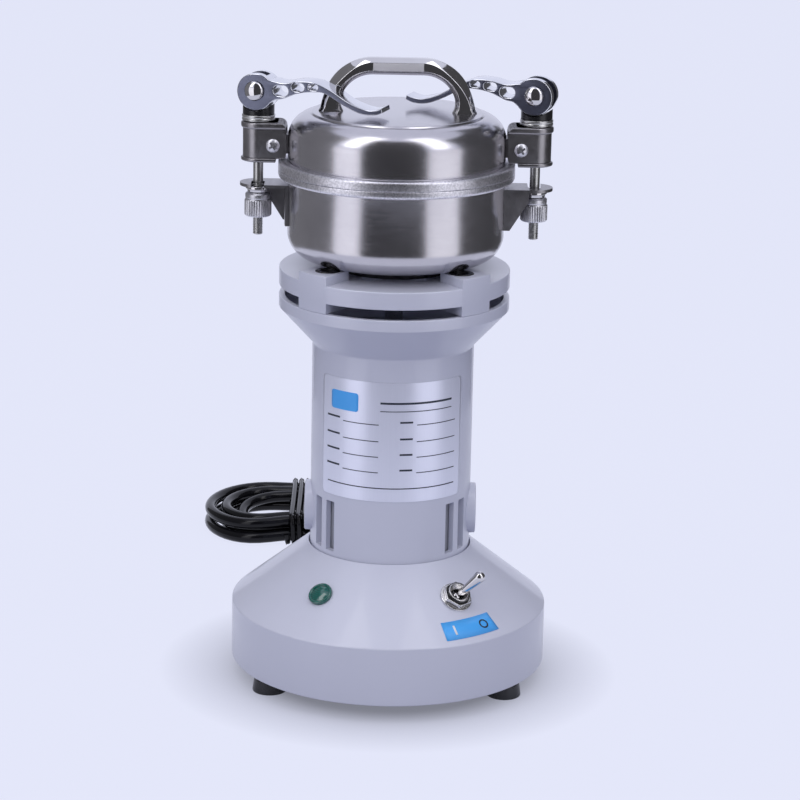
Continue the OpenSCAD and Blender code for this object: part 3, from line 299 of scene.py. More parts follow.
def turned(name, corners, arcs=4, place=HERE, steps=96, ripple=None):
    """A turned piece from (radius, z) and (radius, z, rounding) corners."""
    return lathe(name, rounded(corners, arcs), place, steps, ripple)


def tube(name, r_in, r_out, z_low, z_high, place, steps=48):
    """A plain cylinder, with or without a bore."""
    return lathe(name, [(r_in, z_low), (r_out, z_low), (r_out, z_high), (r_in, z_high)], place, steps)


def sheet(name, rows, thickness):
    """A thin open sheet over a grid of points."""
    piece = from_grid(name, rows, False, False)
    skin = piece.modifiers.new("sheet", "SOLIDIFY")
    skin.thickness = thickness * MM
    skin.offset = 0
    return piece


def sweep(name, stations, place=HERE):
    """Closed sections joined end to end, with the first and the last one filled."""
    piece = from_grid(name, stations, False, True, place)
    clean(piece.data, fill=True)
    smooth(piece.data)
    return piece


def add_spline(curve, points, closed):
    spline = curve.splines.new("POLY")
    spline.points.add(len(points) - 1)
    spline.use_cyclic_u = closed
    spline.use_smooth = True
    for point, place in zip(spline.points, points):
        point.co = (*(c * MM for c in place), 1)


def prism(name, outlines, depth, bevel, place, steps=3):
    """Outlines, the first one filled and the others holes, drawn along Z with rounded edges."""
    curve = bpy.data.curves.new(name, "CURVE")
    curve.dimensions = "2D"
    curve.fill_mode = "BOTH"
    curve.extrude = (depth / 2 - bevel) * MM
    curve.bevel_depth = bevel * MM
    curve.bevel_resolution = steps
    curve.offset = -bevel * MM
    for outline in outlines:
        add_spline(curve, [(x, y, 0) for x, y in outline], True)
    holder = linked(name, curve)
    mesh = evaluated(holder)
    bpy.data.objects.remove(holder)
    clean(mesh)
    mesh.materials.clear()
    return shown(name, mesh, place)


def wire(name, points, r, closed=False, resolution=5):
    """A round wire along the points."""
    curve = bpy.data.curves.new(name, "CURVE")
    curve.dimensions = "3D"
    curve.bevel_depth = r * MM
    curve.bevel_resolution = resolution
    curve.use_fill_caps = True
    add_spline(curve, points, closed)
    return linked(name, curve)


def joined(name, parts):
    """One object from several."""
    bpy.ops.object.select_all(action="DESELECT")
    for part in parts:
        part.select_set(True)
    bpy.context.view_layer.objects.active = parts[0]
    bpy.ops.object.join()
    parts[0].name = name
    return parts[0]


def cut(piece, *tools, keep=False):
    """Takes the tools out of the piece, or keeps only what lies in them."""
    for tool in tools:
        change = piece.modifiers.new("cut", "BOOLEAN")
        change.operation = "INTERSECT" if keep else "DIFFERENCE"
        change.solver = "EXACT"
        change.object = tool
    mesh = evaluated(piece)
    piece.modifiers.clear()
    piece.data = mesh
    smooth(mesh)
    for tool in tools:
        bpy.data.objects.remove(tool)
    return piece


def paint(piece, finish):
    piece.data.materials.clear()
    piece.data.materials.append(finish.material)


def stand_for(piece, finish, *nodes):
    """The piece takes a finish, moves with the first node's body, and the nodes are hidden."""
    paint(piece, finish)
    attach(piece, NODES[nodes[0]]["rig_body"])
    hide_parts(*nodes)
    return piece


def add_on(piece, finish, body="stand"):
    """A piece that stands for no node of its own."""
    paint(piece, finish)
    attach(piece, body)


def carry(finish, *nodes, edge=0.0):
    """CAD nodes that stay take a finish, smooth shading and a fine bevel."""
    for node in nodes:
        piece = NODES[node]
        paint(piece, finish)
        smooth(piece.data)
        if edge:
            bevel = piece.modifiers.new("edge", "BEVEL")
            bevel.width = edge * MM
            bevel.segments = 2
            bevel.limit_method = "ANGLE"
            bevel.angle_limit = EDGE_ANGLE
            bevel.harden_normals = True


def second_finish(piece, finish, chosen):
    """The faces that chosen(face) picks take a finish of their own."""
    piece.data.materials.append(finish.material)
    for face in piece.data.polygons:
        face.material_index = 1 if chosen(face) else 0


# Finishes

class Nodes:
    """A node tree, in object coordinates."""

    def __init__(self, tree):
        self.tree = tree

    def node(self, kind, inputs, **settings):
        made = self.tree.nodes.new("ShaderNode" + kind)
        for key, value in settings.items():
            setattr(made, key, value)
        for key, value in inputs.items():
            if isinstance(value, bpy.types.NodeSocket):
                self.tree.links.new(value, made.inputs[key])
            else:
                made.inputs[key].default_value = value
        return made

    def calc(self, operation, *values):
        return self.node("Math", dict(enumerate(values)), operation=operation).outputs[0]

    def vector(self, operation, *values, output="Vector"):
        made = self.node("VectorMath", dict(enumerate(values)), operation=operation)
        return made.outputs[output]

    def place(self):
        return self.node("TexCoord", {}).outputs["Object"]

    def noise(self, scale, detail, rough=0.55, vector=None):
        return self.node("TexNoise", {"Vector": vector or self.place(), "Scale": scale, "Detail": detail,
                                      "Roughness": rough}).outputs["Fac"]

    def between(self, value, low_end, high_end, low_in=0.3, high_in=0.7):
        return self.node("MapRange", {"Value": value, "From Min": low_in, "From Max": high_in,
                                      "To Min": low_end, "To Max": high_end}).outputs["Result"]

    def tint(self, value, stops):
        ramp = self.node("ValToRGB", {"Fac": value})
        for band, (position, colour) in zip(ramp.color_ramp.elements, stops):
            band.position = position
            band.color = (*colour, 1)
        return ramp.outputs["Color"]

    def glow(self, colour):
        return self.node("Emission", {"Color": colour, "Strength": 1.0}).outputs[0]

    def bright_rays(self):
        """One for rays from the camera, from gloss and through glass."""
        rays = self.node("LightPath", {}).outputs
        seen = self.calc("MAXIMUM", rays["Is Camera Ray"], rays["Is Glossy Ray"])
        return self.calc("MAXIMUM", seen, rays["Is Transmission Ray"])


class Finish(Nodes):
    """A material on one Principled shader, and its slot's name."""

    def __init__(self, slot, name=None, **sockets):
        self.slot = slot
        self.material = bpy.data.materials.new(name or slot)
        self.material.use_nodes = True
        super().__init__(self.material.node_tree)
        self.shader = self.tree.nodes["Principled BSDF"]
        for socket, value in sockets.items():
            self.shader.inputs[socket.replace("_", " ")].default_value = value

    def rings(self, fine, along):
        """Coordinates that vary fast across a turned surface and slowly round it."""
        flat = self.vector("MULTIPLY", self.place(), (1, 1, 0))
        radius = self.vector("LENGTH", flat, output="Value")
        parts = self.node("SeparateXYZ", {"Vector": self.place()}).outputs
        angle = self.calc("ARCTAN2", parts["Y"], parts["X"])
        packed = self.node("CombineXYZ", {"X": radius, "Y": angle, "Z": parts["Z"]})
        return self.vector("MULTIPLY", packed.outputs["Vector"], (fine, along, fine))

    def stretched(self, x, y, z):
        return self.vector("MULTIPLY", self.place(), (x, y, z))

    def feed(self, socket, value):
        self.tree.links.new(value, self.shader.inputs[socket])

    def bump(self, value, strength, depth=0.1):
        last = self.shader.inputs["Normal"].links
        inputs = {"Height": value, "Strength": strength, "Distance": depth * MM}
        if last:
            inputs["Normal"] = last[0].from_socket
        self.feed("Normal", self.node("Bump", inputs).outputs["Normal"])

    def end_with(self, value):
        self.tree.links.new(value, self.tree.nodes["Material Output"].inputs["Surface"])


def moulded(slot, dark, pale, rough, grain, strength, name=None, **sockets):
    """Moulded plastic or rubber: a slight mottle, a fine grain and uneven gloss."""
    made = Finish(slot, name, **sockets)
    mottle = made.noise(22, 4)
    made.feed("Base Color", made.tint(mottle, [(0.3, dark), (0.7, pale)]))
    made.feed("Roughness", made.between(made.noise(90, 3), *rough))
    made.bump(made.noise(grain, 2), strength, 0.05)
    return made


def metal(slot, dark, pale, rough, grain=900, strength=0.04, name=None, fine=0, along=4):
    """Metal: turned or plain grain in its colour, gloss and surface, with soft stains."""
    made = Finish(slot, name, Metallic=1.0)
    lines = made.rings(fine, along) if fine else made.place()
    grain_value = made.noise(1 if fine else grain, 3, vector=lines)
    stains = made.noise(28, 4, 0.6)
    made.feed("Base Color", made.tint(stains, [(0.3, dark), (0.72, pale)]))
    uneven = made.calc("ADD", grain_value, stains)
    made.feed("Roughness", made.between(uneven, *rough, 0.75, 1.25))
    made.bump(grain_value, strength, 0.03)
    return made


def steel_with_scratches():
    """Spun steel: fine rings of polishing, cloudy gloss and a few long faint scratches."""
    made = metal("bowl_steel", (0.50, 0.49, 0.52), (0.60, 0.585, 0.62), (0.17, 0.25), strength=0.035,
                 fine=2600, along=7)
    bent = made.noise(14, 2)
    lines = made.vector("ADD", made.stretched(60, 60, 34), (1.3, 0.4, 2.0))
    scratch = made.node("TexVoronoi", {"Vector": lines, "Scale": 1.0},
                        feature="DISTANCE_TO_EDGE").outputs["Distance"]
    thin = made.between(scratch, 1, 0, 0.0, 0.012)
    some = made.between(bent, 0, 1, 0.5, 0.62)
    made.bump(made.calc("MULTIPLY", thin, some), 0.10, 0.03)
    return made


def speckled_bead():
    """The hammered look of a rolled flange."""
    made = metal("bowl_steel", (0.66, 0.65, 0.70), (0.84, 0.83, 0.88), (0.30, 0.44), strength=0.06,
                 name="flange_steel", fine=500, along=60)
    pits = made.noise(1000, 2)
    made.feed("Base Color", made.tint(pits, [(0.36, (0.58, 0.575, 0.62)), (0.62, (0.80, 0.79, 0.84))]))
    made.bump(made.between(pits, 0, 1, 0.4, 0.6), 0.22, 0.06)
    return made


RIB_SCALE = 420


def green_lens():
    """Ribbed green plastic, with painted shade between the ribs."""
    made = Finish("lens_green", Roughness=0.10, Coat_Weight=1.0, Coat_Roughness=0.04, IOR=1.49)
    ribs = made.node("TexWave", {"Vector": made.place(), "Scale": RIB_SCALE, "Distortion": 0.6})
    rows = made.node("TexWave", {"Vector": made.place(), "Scale": RIB_SCALE}, bands_direction="Z")
    grid = made.calc("MULTIPLY", ribs.outputs["Fac"], rows.outputs["Fac"])
    # Darker colour in the grooves between the ribs: painted shade.
    made.feed("Base Color", made.tint(grid, [(0.0, (0.0, 0.075, 0.06)), (0.6, (0.002, 0.135, 0.105))]))
    made.bump(grid, 0.10)
    return made


def brushed_plate():
    """Printed metal foil with fine vertical brushing."""
    made = Finish("bowl_steel", "plate_foil", Metallic=0.5)
    lines = made.noise(1, 2, vector=made.stretched(5000, 5000, 60))
    made.feed("Base Color", made.tint(lines, [(0.3, (0.78, 0.80, 0.93)), (0.7, (0.81, 0.83, 0.96))]))
    made.feed("Roughness", made.between(lines, 0.30, 0.34))
    made.bump(lines, 0.01, 0.03)
    return made


HOUSING = moulded("housing_plastic", (0.598, 0.614, 0.728), (0.612, 0.628, 0.742), (0.33, 0.40), 1500, 0.012,
                  Coat_Weight=0.4, Coat_Roughness=0.07)
BLACK = moulded("black_plastic", (0.006, 0.006, 0.007), (0.012, 0.012, 0.014), (0.24, 0.36), 900, 0.05)
DARK = moulded("dark_plastic", (0.12, 0.125, 0.14), (0.16, 0.165, 0.18), (0.45, 0.6), 900, 0.08)
SLEEVE = moulded("dark_plastic", (0.30, 0.31, 0.36), (0.34, 0.35, 0.40), (0.45, 0.6), 900, 0.08, "sleeve")
BLOCK = moulded("block_plastic", (0.62, 0.60, 0.52), (0.70, 0.68, 0.60), (0.35, 0.5), 900, 0.06)
LENS = green_lens()
RUBBER = moulded("rubber_black", (0.008, 0.008, 0.010), (0.018, 0.018, 0.022), (0.20, 0.34), 1100, 0.08)
PVC = moulded("rubber_black", (0.003, 0.003, 0.004), (0.006, 0.006, 0.008), (0.10, 0.17), 600, 0.03,
              "cord_pvc", Specular_IOR_Level=0.25)
GASKET = moulded("gasket_rubber", (0.52, 0.52, 0.49), (0.60, 0.60, 0.57), (0.5, 0.65), 900, 0.08)
STEEL = steel_with_scratches()
BEAD = speckled_bead()
INNER = metal("inner_steel", (0.40, 0.40, 0.42), (0.52, 0.52, 0.54), (0.25, 0.40), 700)
BLADE = metal("blade_steel", (0.50, 0.50, 0.53), (0.62, 0.62, 0.65), (0.18, 0.30), 500)
SHEET = metal("dark_steel", (0.27, 0.262, 0.275), (0.38, 0.37, 0.385), (0.28, 0.42), 600, 0.06)
ZINC = metal("zinc_steel", (0.50, 0.50, 0.49), (0.66, 0.66, 0.65), (0.26, 0.40), 700, 0.06)
ZINC_BRIGHT = metal("zinc_steel", (0.60, 0.60, 0.64), (0.74, 0.74, 0.78), (0.32, 0.46), 900, 0.06, "nut_zinc")
CHROME = metal("chrome_steel", (0.58, 0.57, 0.58), (0.68, 0.67, 0.68), (0.04, 0.09), 200, 0.008)
NICKEL = metal("chrome_steel", (0.74, 0.73, 0.72), (0.84, 0.83, 0.82), (0.20, 0.30), 500, 0.02, "nickel")
SATIN = moulded("chrome_steel", (0.66, 0.65, 0.68), (0.72, 0.71, 0.74), (0.34, 0.44), 1800, 0.04,
                "handle_satin", Metallic=0.3)
ALLOY_SIDE = metal("lever_alloy", (0.13, 0.14, 0.19), (0.20, 0.21, 0.28), (0.32, 0.44), 1300, 0.10,
                   "lever_side")
ALLOY_EDGE = metal("lever_alloy", (0.66, 0.67, 0.72), (0.80, 0.81, 0.85), (0.08, 0.18), 300, 0.02,
                   "lever_edge")
CORE = metal("core_steel", (0.10, 0.10, 0.11), (0.16, 0.16, 0.17), (0.45, 0.6), 600, 0.1)
COPPER = metal("winding_copper", (0.42, 0.17, 0.07), (0.56, 0.25, 0.11), (0.28, 0.42), 500)
BRASS = metal("brass_plain", (0.50, 0.36, 0.12), (0.62, 0.46, 0.18), (0.25, 0.38), 500)
CARBON = moulded("carbon_black", (0.02, 0.02, 0.022), (0.035, 0.035, 0.038), (0.5, 0.65), 1200, 0.1)
FOIL = brushed_plate()
BLUE = moulded("housing_plastic", (0.065, 0.40, 0.93), (0.075, 0.43, 0.96), (0.30, 0.38), 900, 0.03,
               "label_blue")
WHITE = moulded("housing_plastic", (0.85, 0.86, 0.88), (0.9, 0.9, 0.92), (0.4, 0.5), 900, 0.03, "label_white")
INK = moulded("black_plastic", (0.015, 0.02, 0.035), (0.02, 0.028, 0.05), (0.4, 0.5), 900, 0.03, "label_ink")
BEZEL = moulded("black_plastic", (0.0, 0.03, 0.02), (0.005, 0.06, 0.04), (0.10, 0.2), 600, 0.03, "lamp_rim")


# Camera, from the fit to the photograph

CAMERA_REACH = 1.508
CAMERA_TILT = math.radians(15.26)
CAMERA_ROLL = math.radians(1.12)
FOCAL_PX = 2996
PICTURE_PX = 800
TARGET_PX = (392.4, 386.2)
TARGET = Vector((0, 0, 0.150))


def photo_camera():
    spot = TARGET + CAMERA_REACH * Vector((0, -math.cos(CAMERA_TILT), math.sin(CAMERA_TILT)))
    lens = bpy.data.cameras.new("camera")
    lens.sensor_width = 36
    lens.lens = FOCAL_PX / PICTURE_PX * lens.sensor_width
    lens.shift_x = (PICTURE_PX / 2 - TARGET_PX[0]) / PICTURE_PX
    lens.shift_y = (TARGET_PX[1] - PICTURE_PX / 2) / PICTURE_PX
    lens.clip_end = 50
    camera = linked("camera", lens)
    ahead = (TARGET - spot).normalized()
    upward = AXIS_X.cross(ahead)
    right = math.cos(CAMERA_ROLL) * AXIS_X + math.sin(CAMERA_ROLL) * upward
    axes = Matrix((right, right.cross(ahead), -ahead)).transposed().to_4x4()
    camera.matrix_world = Matrix.Translation(spot) @ axes
    bpy.context.scene.camera = camera


# Mains lead: one cord from the grip to the plug, by the route of the source

CORD_R = 3.3
FLOOR_Z = 3.6
LEAD_POINTS = [
    (0, 111, 24), (0, 118, 23.4), (0, 126, 21.1), (0, 134, 17.6), (0, 142, 13.5), (-0.3, 150, 9.4),
    (-1.2, 159, 5.8), (-4, 168, 3.9), (-9, 177, FLOOR_Z), (-15.5, 184, FLOOR_Z), (-24, 190, FLOOR_Z)]
TAIL_POINTS = [
    (-22, 273, 11.8), (-10, 274.5, 12.6), (3, 274, 13.8), (15.5, 271, 15), (26.5, 264.5, 16.4),
    (34, 254, 17.8), (38.5, 242.3, 19), (38.5, 229.7, 20.2), (34, 218, 21.2), (26, 208.5, 22),
    (15.3, 202.3, 22.4), (4, 200, 22.4)]
LEAVE_HANK = 6.6
HANK_X = -40
WAIST_X = -54
HANK_Y = 232
HANK_STRAIGHT = 25
HANK_INNER = 22
HANK_STEP = 9.4
HANK_TURNS = 4.5
HANK_RINGS = 72
HANK_WAIST = 0.22
HANK_LAYER = 7.7
WAIST_REACH = 24
TIE_LIFT = 1.7
RUN_SHARES = [(0, 0), (0.085, -1), (0.415, -1), (0.585, 1), (0.915, 1), (1, 0)]
BEND_SHARES = [(0, -0.25), (0.085, -0.25), (0.415, -0.75), (0.585, -0.75), (0.915, -1.25), (1, -1.25)]
TIE_R = 1.6
TIE_WRAPS = 3
TIE_PITCH = 3.7
TIE_HALF = 37.6
TIE_LOW = 1.9
TIE_TOP = 17.4
TIE_SAG = 1.2
PLUG_AT = Matrix.Translation(TAIL_POINTS[-1]) @ turn(-90, "Y")
PLUG_NECK_L = 6
PLUG_L = 27
PLUG_W = 24
PLUG_H = 14
PLUG_SECTIONS = (
    (-0.02, 0.42, 0.30), (0.03, 0.60, 0.46), (0.12, 0.80, 0.70), (0.26, 0.93, 0.90), (0.42, 0.99, 1.0),
    (0.55, 0.97, 0.97), (0.80, 0.99, 1.0), (0.96, 1.0, 1.0), (1.0, 0.93, 0.96))
GRIP_L = 28
GRIP_RIBS = 7


def lookup(share, table):
    for (x0, y0), (x1, y1) in zip(table, table[1:]):
        if share <= x1:
            return y0 + (y1 - y0) * (share - x0) / (x1 - x0)
    return table[-1][1]


def nearness(x):
    return math.exp(-((x - WAIST_X) / WAIST_REACH) ** 2)


def hank_point(turns):
    """One point of the hank: its turns spiral in below and out again above."""
    share = turns - math.floor(turns)
    angle = math.tau * lookup(share, BEND_SHARES)
    width = HANK_INNER + HANK_STEP * abs(turns - HANK_TURNS / 2)
    rise = min(max(2 * (turns - HANK_TURNS / 2) + 0.5, 0), 1)
    x = HANK_X + HANK_STRAIGHT * lookup(share, RUN_SHARES) + width * math.cos(angle)
    y = HANK_Y + width * math.sin(angle) * (1 - HANK_WAIST * nearness(x))
    return Vector((x, y, FLOOR_Z + HANK_LAYER * rise * rise * (3 - 2 * rise) + TIE_LIFT * nearness(x)))


def cord_route():
    hank = [hank_point(k / HANK_RINGS) for k in range(round(HANK_RINGS * HANK_TURNS) + 1)]
    enter = hank[0] + (hank[0] - hank[1]).normalized() * LEAVE_HANK
    leave = hank[-1] + (hank[-1] - hank[-2]).normalized() * LEAVE_HANK
    return smooth_line([*LEAD_POINTS, enter], 4) + hank + smooth_line([leave, *TAIL_POINTS], 4)


def hank_tie():
    """Three wraps of thin cord round the hank's waist."""
    once = rounded([(-TIE_HALF, TIE_LOW, 5), (TIE_HALF, TIE_LOW, 5), (TIE_HALF, TIE_TOP, 6),
                    (-TIE_HALF, TIE_TOP, 6)], 6)
    line = []
    for wrap in range(TIE_WRAPS):
        for index, (y, z) in enumerate(once):
            x = WAIST_X + TIE_PITCH * (wrap + index / len(once) - TIE_WRAPS / 2)
            sag = TIE_SAG * math.sin(math.pi * (y + TIE_HALF) / (2 * TIE_HALF)) if z > TIE_TOP / 2 else 0
            line.append((x, HANK_Y + y, z - sag))
    return stand_for(wire("hank_tie", smooth_line(line, 3), TIE_R), PVC, "cord_tie")


def plug_section(share, scale_h, scale_w):
    outline = rectangle(PLUG_H * scale_h, PLUG_W * scale_w, 5 * min(scale_h, scale_w))
    return [(x, y, PLUG_NECK_L + PLUG_L * share) for x, y in outline]


def plug_shell():
    """A moulded body with a ribbed neck."""
    ribs = [(0, 0), (3.9, 0)]
    for z in (0, 1.5, 3.0, 4.5):
        ribs += [(4.6, z + 0.3), (4.6, z + 0.9), (3.9, z + 1.1), (3.9, z + 1.4)]
    ribs += [(0, PLUG_NECK_L)]
    body = sweep("plug_shell", [plug_section(*values) for values in PLUG_SECTIONS], PLUG_AT)
    return stand_for(joined("plug_shell", [body, lathe("neck", ribs, PLUG_AT, 40)]), PVC, "plug_body")


def pin(x, y, lean):
    """A flat pin with rounded corners, along the plug's axis."""
    place = PLUG_AT @ shift(x, y, PLUG_NECK_L + PLUG_L + 7) @ turn(lean) @ turn(90, "X")
    return prism("pin", [rectangle(6.3, 15.5, 1.2)], 1.6, 0.3, place)


def plug_blades():
    pins = [pin(PLUG_H / 4, 0, 0), pin(-PLUG_H / 4, 6, 30), pin(-PLUG_H / 4, -6, -30)]
    return stand_for(joined("plug_blades", pins), BRASS, "plug_pins")


def mains_lead():
    route = cord_route()
    cord = stand_for(wire("mains_lead", route, CORD_R, resolution=6), PVC,
                     "cord_hank", "cord_lead", "cord_tail")
    tie = hank_tie()
    plug = plug_shell()
    pins = plug_blades()
    length = sum((b - a).length for a, b in zip(route, route[1:])) * MM


def cord_boot():
    """Strain relief: tapered and ribbed, out of the back of the base."""
    profile = [(0, -6), (4.4, -6), (4.4, 0), (7.0, 0), (7.5, 0.6), (7.5, 2.4), (7.0, 3)]
    for rib in range(GRIP_RIBS):
        z = 3 + GRIP_L * (rib + 0.15) / GRIP_RIBS
        r = 6.5 - 2.0 * (rib + 0.5) / GRIP_RIBS
        profile += [(r - 0.8, z), (r, z + 0.5), (r, z + 2.2), (r - 0.8, z + 2.7)]
    profile += [(3.7, 3 + GRIP_L), (0, 3 + GRIP_L)]
    place = shift(0, BASE_R, 24) @ turn(-90, "X")
    stand_for(lathe("cord_boot", profile, place, 64), RUBBER, "cord_grip")


# Base: the turned skin with its inner ledge, and the feet

LEDGE_Z = Z_CONE - 9.5
LEDGE_T = 3
LEDGE_IN = 30
POSTS = 69.5
FOOT_ANGLES = (58, 122, 238, 302)


def skin_inner(z):
    """The skin's inner radius at a height on the cone."""
    return HOLE_R + (Z_CONE - z) / math.tan(CONE_TILT) - SHELL_T


def base_skin():
    under = LEDGE_Z - LEDGE_T
    posts = [tube("post", 1.7, 4.2, Z_BASE + 2.6, Z_EDGE, around(a, POSTS), 32) for a in FOOT_ANGLES]
    skin = turned("base_skin", [
        (HOLE_R, Z_CONE, 0.5), (BASE_R, Z_EDGE, 1.3), (BASE_R, Z_BASE, 0.7), (BASE_R - SHELL_T, Z_BASE, 0.5),
        (BASE_R - SHELL_T, Z_EDGE - 1.5, 1), (skin_inner(under), under, 0.5), (LEDGE_IN, under, 0.4),
        (LEDGE_IN, LEDGE_Z, 0.4), (skin_inner(LEDGE_Z), LEDGE_Z, 0.4), (HOLE_R, Z_CONE - 2.6, 0.4)],
        6, steps=CASTING_STEPS)
    stand_for(joined("base_skin", [skin, *posts]), HOUSING, "base_shell")


def rubber_feet():
    corners = [(1.7, 4), (3.4, 4, 0.2), (3.4, 0, 0.4), (8.8, 0, 0.9), (7.9, 6.5, 0.6), (7.2, 9, 0.3),
               (1.7, 9)]
    feet = [turned("foot", corners, 4, around(a, POSTS), 64) for a in FOOT_ANGLES]
    stand_for(joined("feet", feet), RUBBER, "rubber_feet")


# Motor housing: neck, funnel and rim in one moulding, with slots and bosses

HOUSING_IN = NECK_R - SHELL_T
FOOT_RING_T = 4
SLOT_W = 6
SLOT_L = 26
SLOT_Z = Z_CONE + 2 + SLOT_L / 2
SLOT_ANGLES = [a for b in (47.6, 61.8) for a in (b, -b, 180 - b, 180 + b)]
BRUSH_Z = Z_CONE + 17.5
BOSS_R = 13
BOSS_OUT = NECK_R + 2.8
CAP_R = 8
CAP_AT = 37.4


def boss_place(side):
    return shift(z=BRUSH_Z) @ turn(90 * side, "Y")


def brush_boss(side):
    """A ring that stands out of the neck."""
    return turned("boss", [
        (CAP_R + 0.05, HOUSING_IN), (BOSS_R, HOUSING_IN), (BOSS_R - 0.3, BOSS_OUT, 0.8),
        (CAP_R + 0.05, BOSS_OUT, 0.4)], place=boss_place(side))


def motor_housing():
    skin = turned("housing_skin", [
        (LEDGE_IN, LEDGE_Z + 0.05), (NECK_R, LEDGE_Z + 0.05, 0.4), (NECK_R, Z_NECK, 2.2),
        (RIM_R, Z_FLARE, 0.7), (RIM_R, Z_RIM, 0.5), (RIM_R - SHELL_T, Z_RIM, 0.4),
        (RIM_R - SHELL_T, Z_FLARE + 1.5, 1), (HOUSING_IN, Z_NECK + SHELL_T, 2),
        (HOUSING_IN, LEDGE_Z + FOOT_RING_T, 0.5), (LEDGE_IN, LEDGE_Z + FOOT_RING_T)], 6, steps=CASTING_STEPS)
    slots = [prism("slot", [rectangle(SLOT_W, SLOT_L, 0.6)], 6 * SHELL_T, 0,
                   around(a, NECK_R, SLOT_Z) @ turn(90, "X")) for a in SLOT_ANGLES]
    holes = [tube("hole", 0, CAP_R, 20, 60, boss_place(s), 64) for s in (-1, 1)]
    skin = cut(skin, *slots, *holes)
    bosses = [brush_boss(s) for s in (-1, 1)]
    fills = [tube("fill", 0, HOUSING_IN, -90, 90, shift(z=BRUSH_Z), 120) for _ in bosses]
    bosses = [cut(boss, fill) for boss, fill in zip(bosses, fills)]
    stand_for(joined("housing_skin", [skin, *bosses]), HOUSING, "motor_housing")


def brush_cap(side):
    """A cap with a raised rim and a slot."""
    place = boss_place(side) @ shift(z=CAP_AT)
    groove = prism("groove", [rectangle(11, 1.3, 0.1)], 2.4, 0, place @ shift(z=5))
    cap = turned("cap", [(0, 0), (CAP_R - 0.1, 0), (CAP_R - 0.1, 5.3, 0.6), (6.2, 5.3, 0.3), (6.0, 4.7, 0.3),
                         (0, 4.7)], 4, place, 64)
    return cut(cap, groove)


def brush_plugs():
    stand_for(joined("brush_plugs", [brush_cap(s) for s in (-1, 1)]), HOUSING, "brush_caps")


# Name plate: bare foil with generic ruled fields, bent round the neck

PLATE_HALF = 57
PLATE_LOW = 101.5
PLATE_HIGH = 162.5
PLATE_LIFT = 0.14
PRINT_LIFT = 0.24
ROW_Z = (142, 133.5, 125.5, 117.5)
ROW_FIELDS = ((-51, -36, -9), (6, 18, 50))


def neck_patch(name, from_angle, to_angle, z_low, z_high, lift=PRINT_LIFT, corner=0.0):
    """A thin sheet on the neck, with rounded corners."""
    rows = []
    half = (to_angle - from_angle) / 2
    middle = (from_angle + to_angle) / 2
    insets = [corner * (1 - math.cos(a)) for a in fan(0, 90, 6)]
    for z in sorted({z for inset in insets for z in (z_low + inset, z_high - inset)}):
        into = max(0.0, corner - min(z - z_low, z_high - z))
        drawn_in = corner - math.sqrt(max(corner * corner - into * into, 0.0))
        reach = half - math.degrees(drawn_in / NECK_R)
        angles = fan(middle - reach, middle + reach, max(2, round(half)))
        rows.append([round_mill(NECK_R + lift, a, z) for a in angles])
    return sheet(name, rows, 0.12)


def name_plate():
    add_on(neck_patch("name_plate", -PLATE_HALF, PLATE_HALF, PLATE_LOW, PLATE_HIGH, PLATE_LIFT, 2.5), FOIL)
    rules = [neck_patch("frame_line", *limits) for limits in (
        (-8, 46, 151.6, 152.6), (-8, 46, 147.8, 148.2), (-50, 50, 108.2, 108.7))]
    for z in ROW_Z:
        for left, middle, far in ROW_FIELDS:
            rules.append(neck_patch("row_mark", left, middle - 3, z, z + 0.9))
            rules.append(neck_patch("row_line", middle, far, z - 1.2, z - 0.8))
    add_on(joined("plate_rules", rules), INK)
    add_on(neck_patch("plate_badge", -47, -24, 146.5, 156, corner=1.5), BLUE)


# Chamber seat: skirt and top plate with four pads, hub and grommets

SEAT_PLATE_T = 4
SEAT_IN = RIM_R - 3.3
HUB_R = 18
HUB_IN = 13.05
BUSH_R = 9.1
Z_UNDER_BOWL = Z_BOWL - 0.05
GROMMET_REACH = 46.5
VENT_REACH = 31
REST_REACH = 23
PAD_MIDDLES = [a + PILLAR_ANGLE / 2 for a in PILLAR_STARTS]


def seat_pad(middle):
    """A block between two radii, with a well for its grommet."""
    first = middle - PILLAR_ANGLE / 2 - 90
    last = first + PILLAR_ANGLE
    bottom = Z_RIM + 0.12
    outline = arc(0, 0, RIM_R + 0.03, first, last, 12) + arc(0, 0, 39, last, first, 8)
    pad = prism("pad", [outline], Z_PAD - bottom, 0.25, shift(z=(bottom + Z_PAD) / 2), 2)
    return cut(pad, tube("well", 0, 6.2, Z_PAD - 3, Z_PAD + 3, around(middle, GROMMET_REACH)))


def chamber_seat():
    vents = [tube("vent", 0, 4.5, Z_STEP - 9, Z_STEP + 9, around(22.5 + 45 * k, VENT_REACH), 32)
             for k in range(8)]
    casting = cut(turned("seat_casting", [
        (HUB_R, Z_STEP - SEAT_PLATE_T), (SEAT_IN, Z_STEP - SEAT_PLATE_T, 1), (SEAT_IN, Z_SEAT, 0.3),
        (RIM_R, Z_SEAT, 0.5), (RIM_R, Z_STEP, 0.7), (HUB_R, Z_STEP)], 6, steps=CASTING_STEPS), *vents)
    pads = [seat_pad(a) for a in PAD_MIDDLES]
    rest_corners = [(1.95, Z_STEP), (4.5, Z_STEP, 0.3), (4.5, Z_UNDER_BOWL, 0.3), (1.95, Z_UNDER_BOWL)]
    rests = [turned("rest", rest_corners, 5, around(a, REST_REACH), 32) for a in (45, 135, 225, 315)]
    hub = turned("hub", [
        (HUB_IN, Z_HUB, 0.4), (HUB_R, Z_HUB, 0.4), (HUB_R, Z_UNDER_BOWL, 0.4), (BUSH_R, Z_UNDER_BOWL, 0.3),
        (BUSH_R, Z_BOWL - 5), (HUB_IN, Z_BOWL - 7)])
    stand_for(joined("seat_casting", [casting, hub, *pads, *rests]), HOUSING, "chamber_seat")
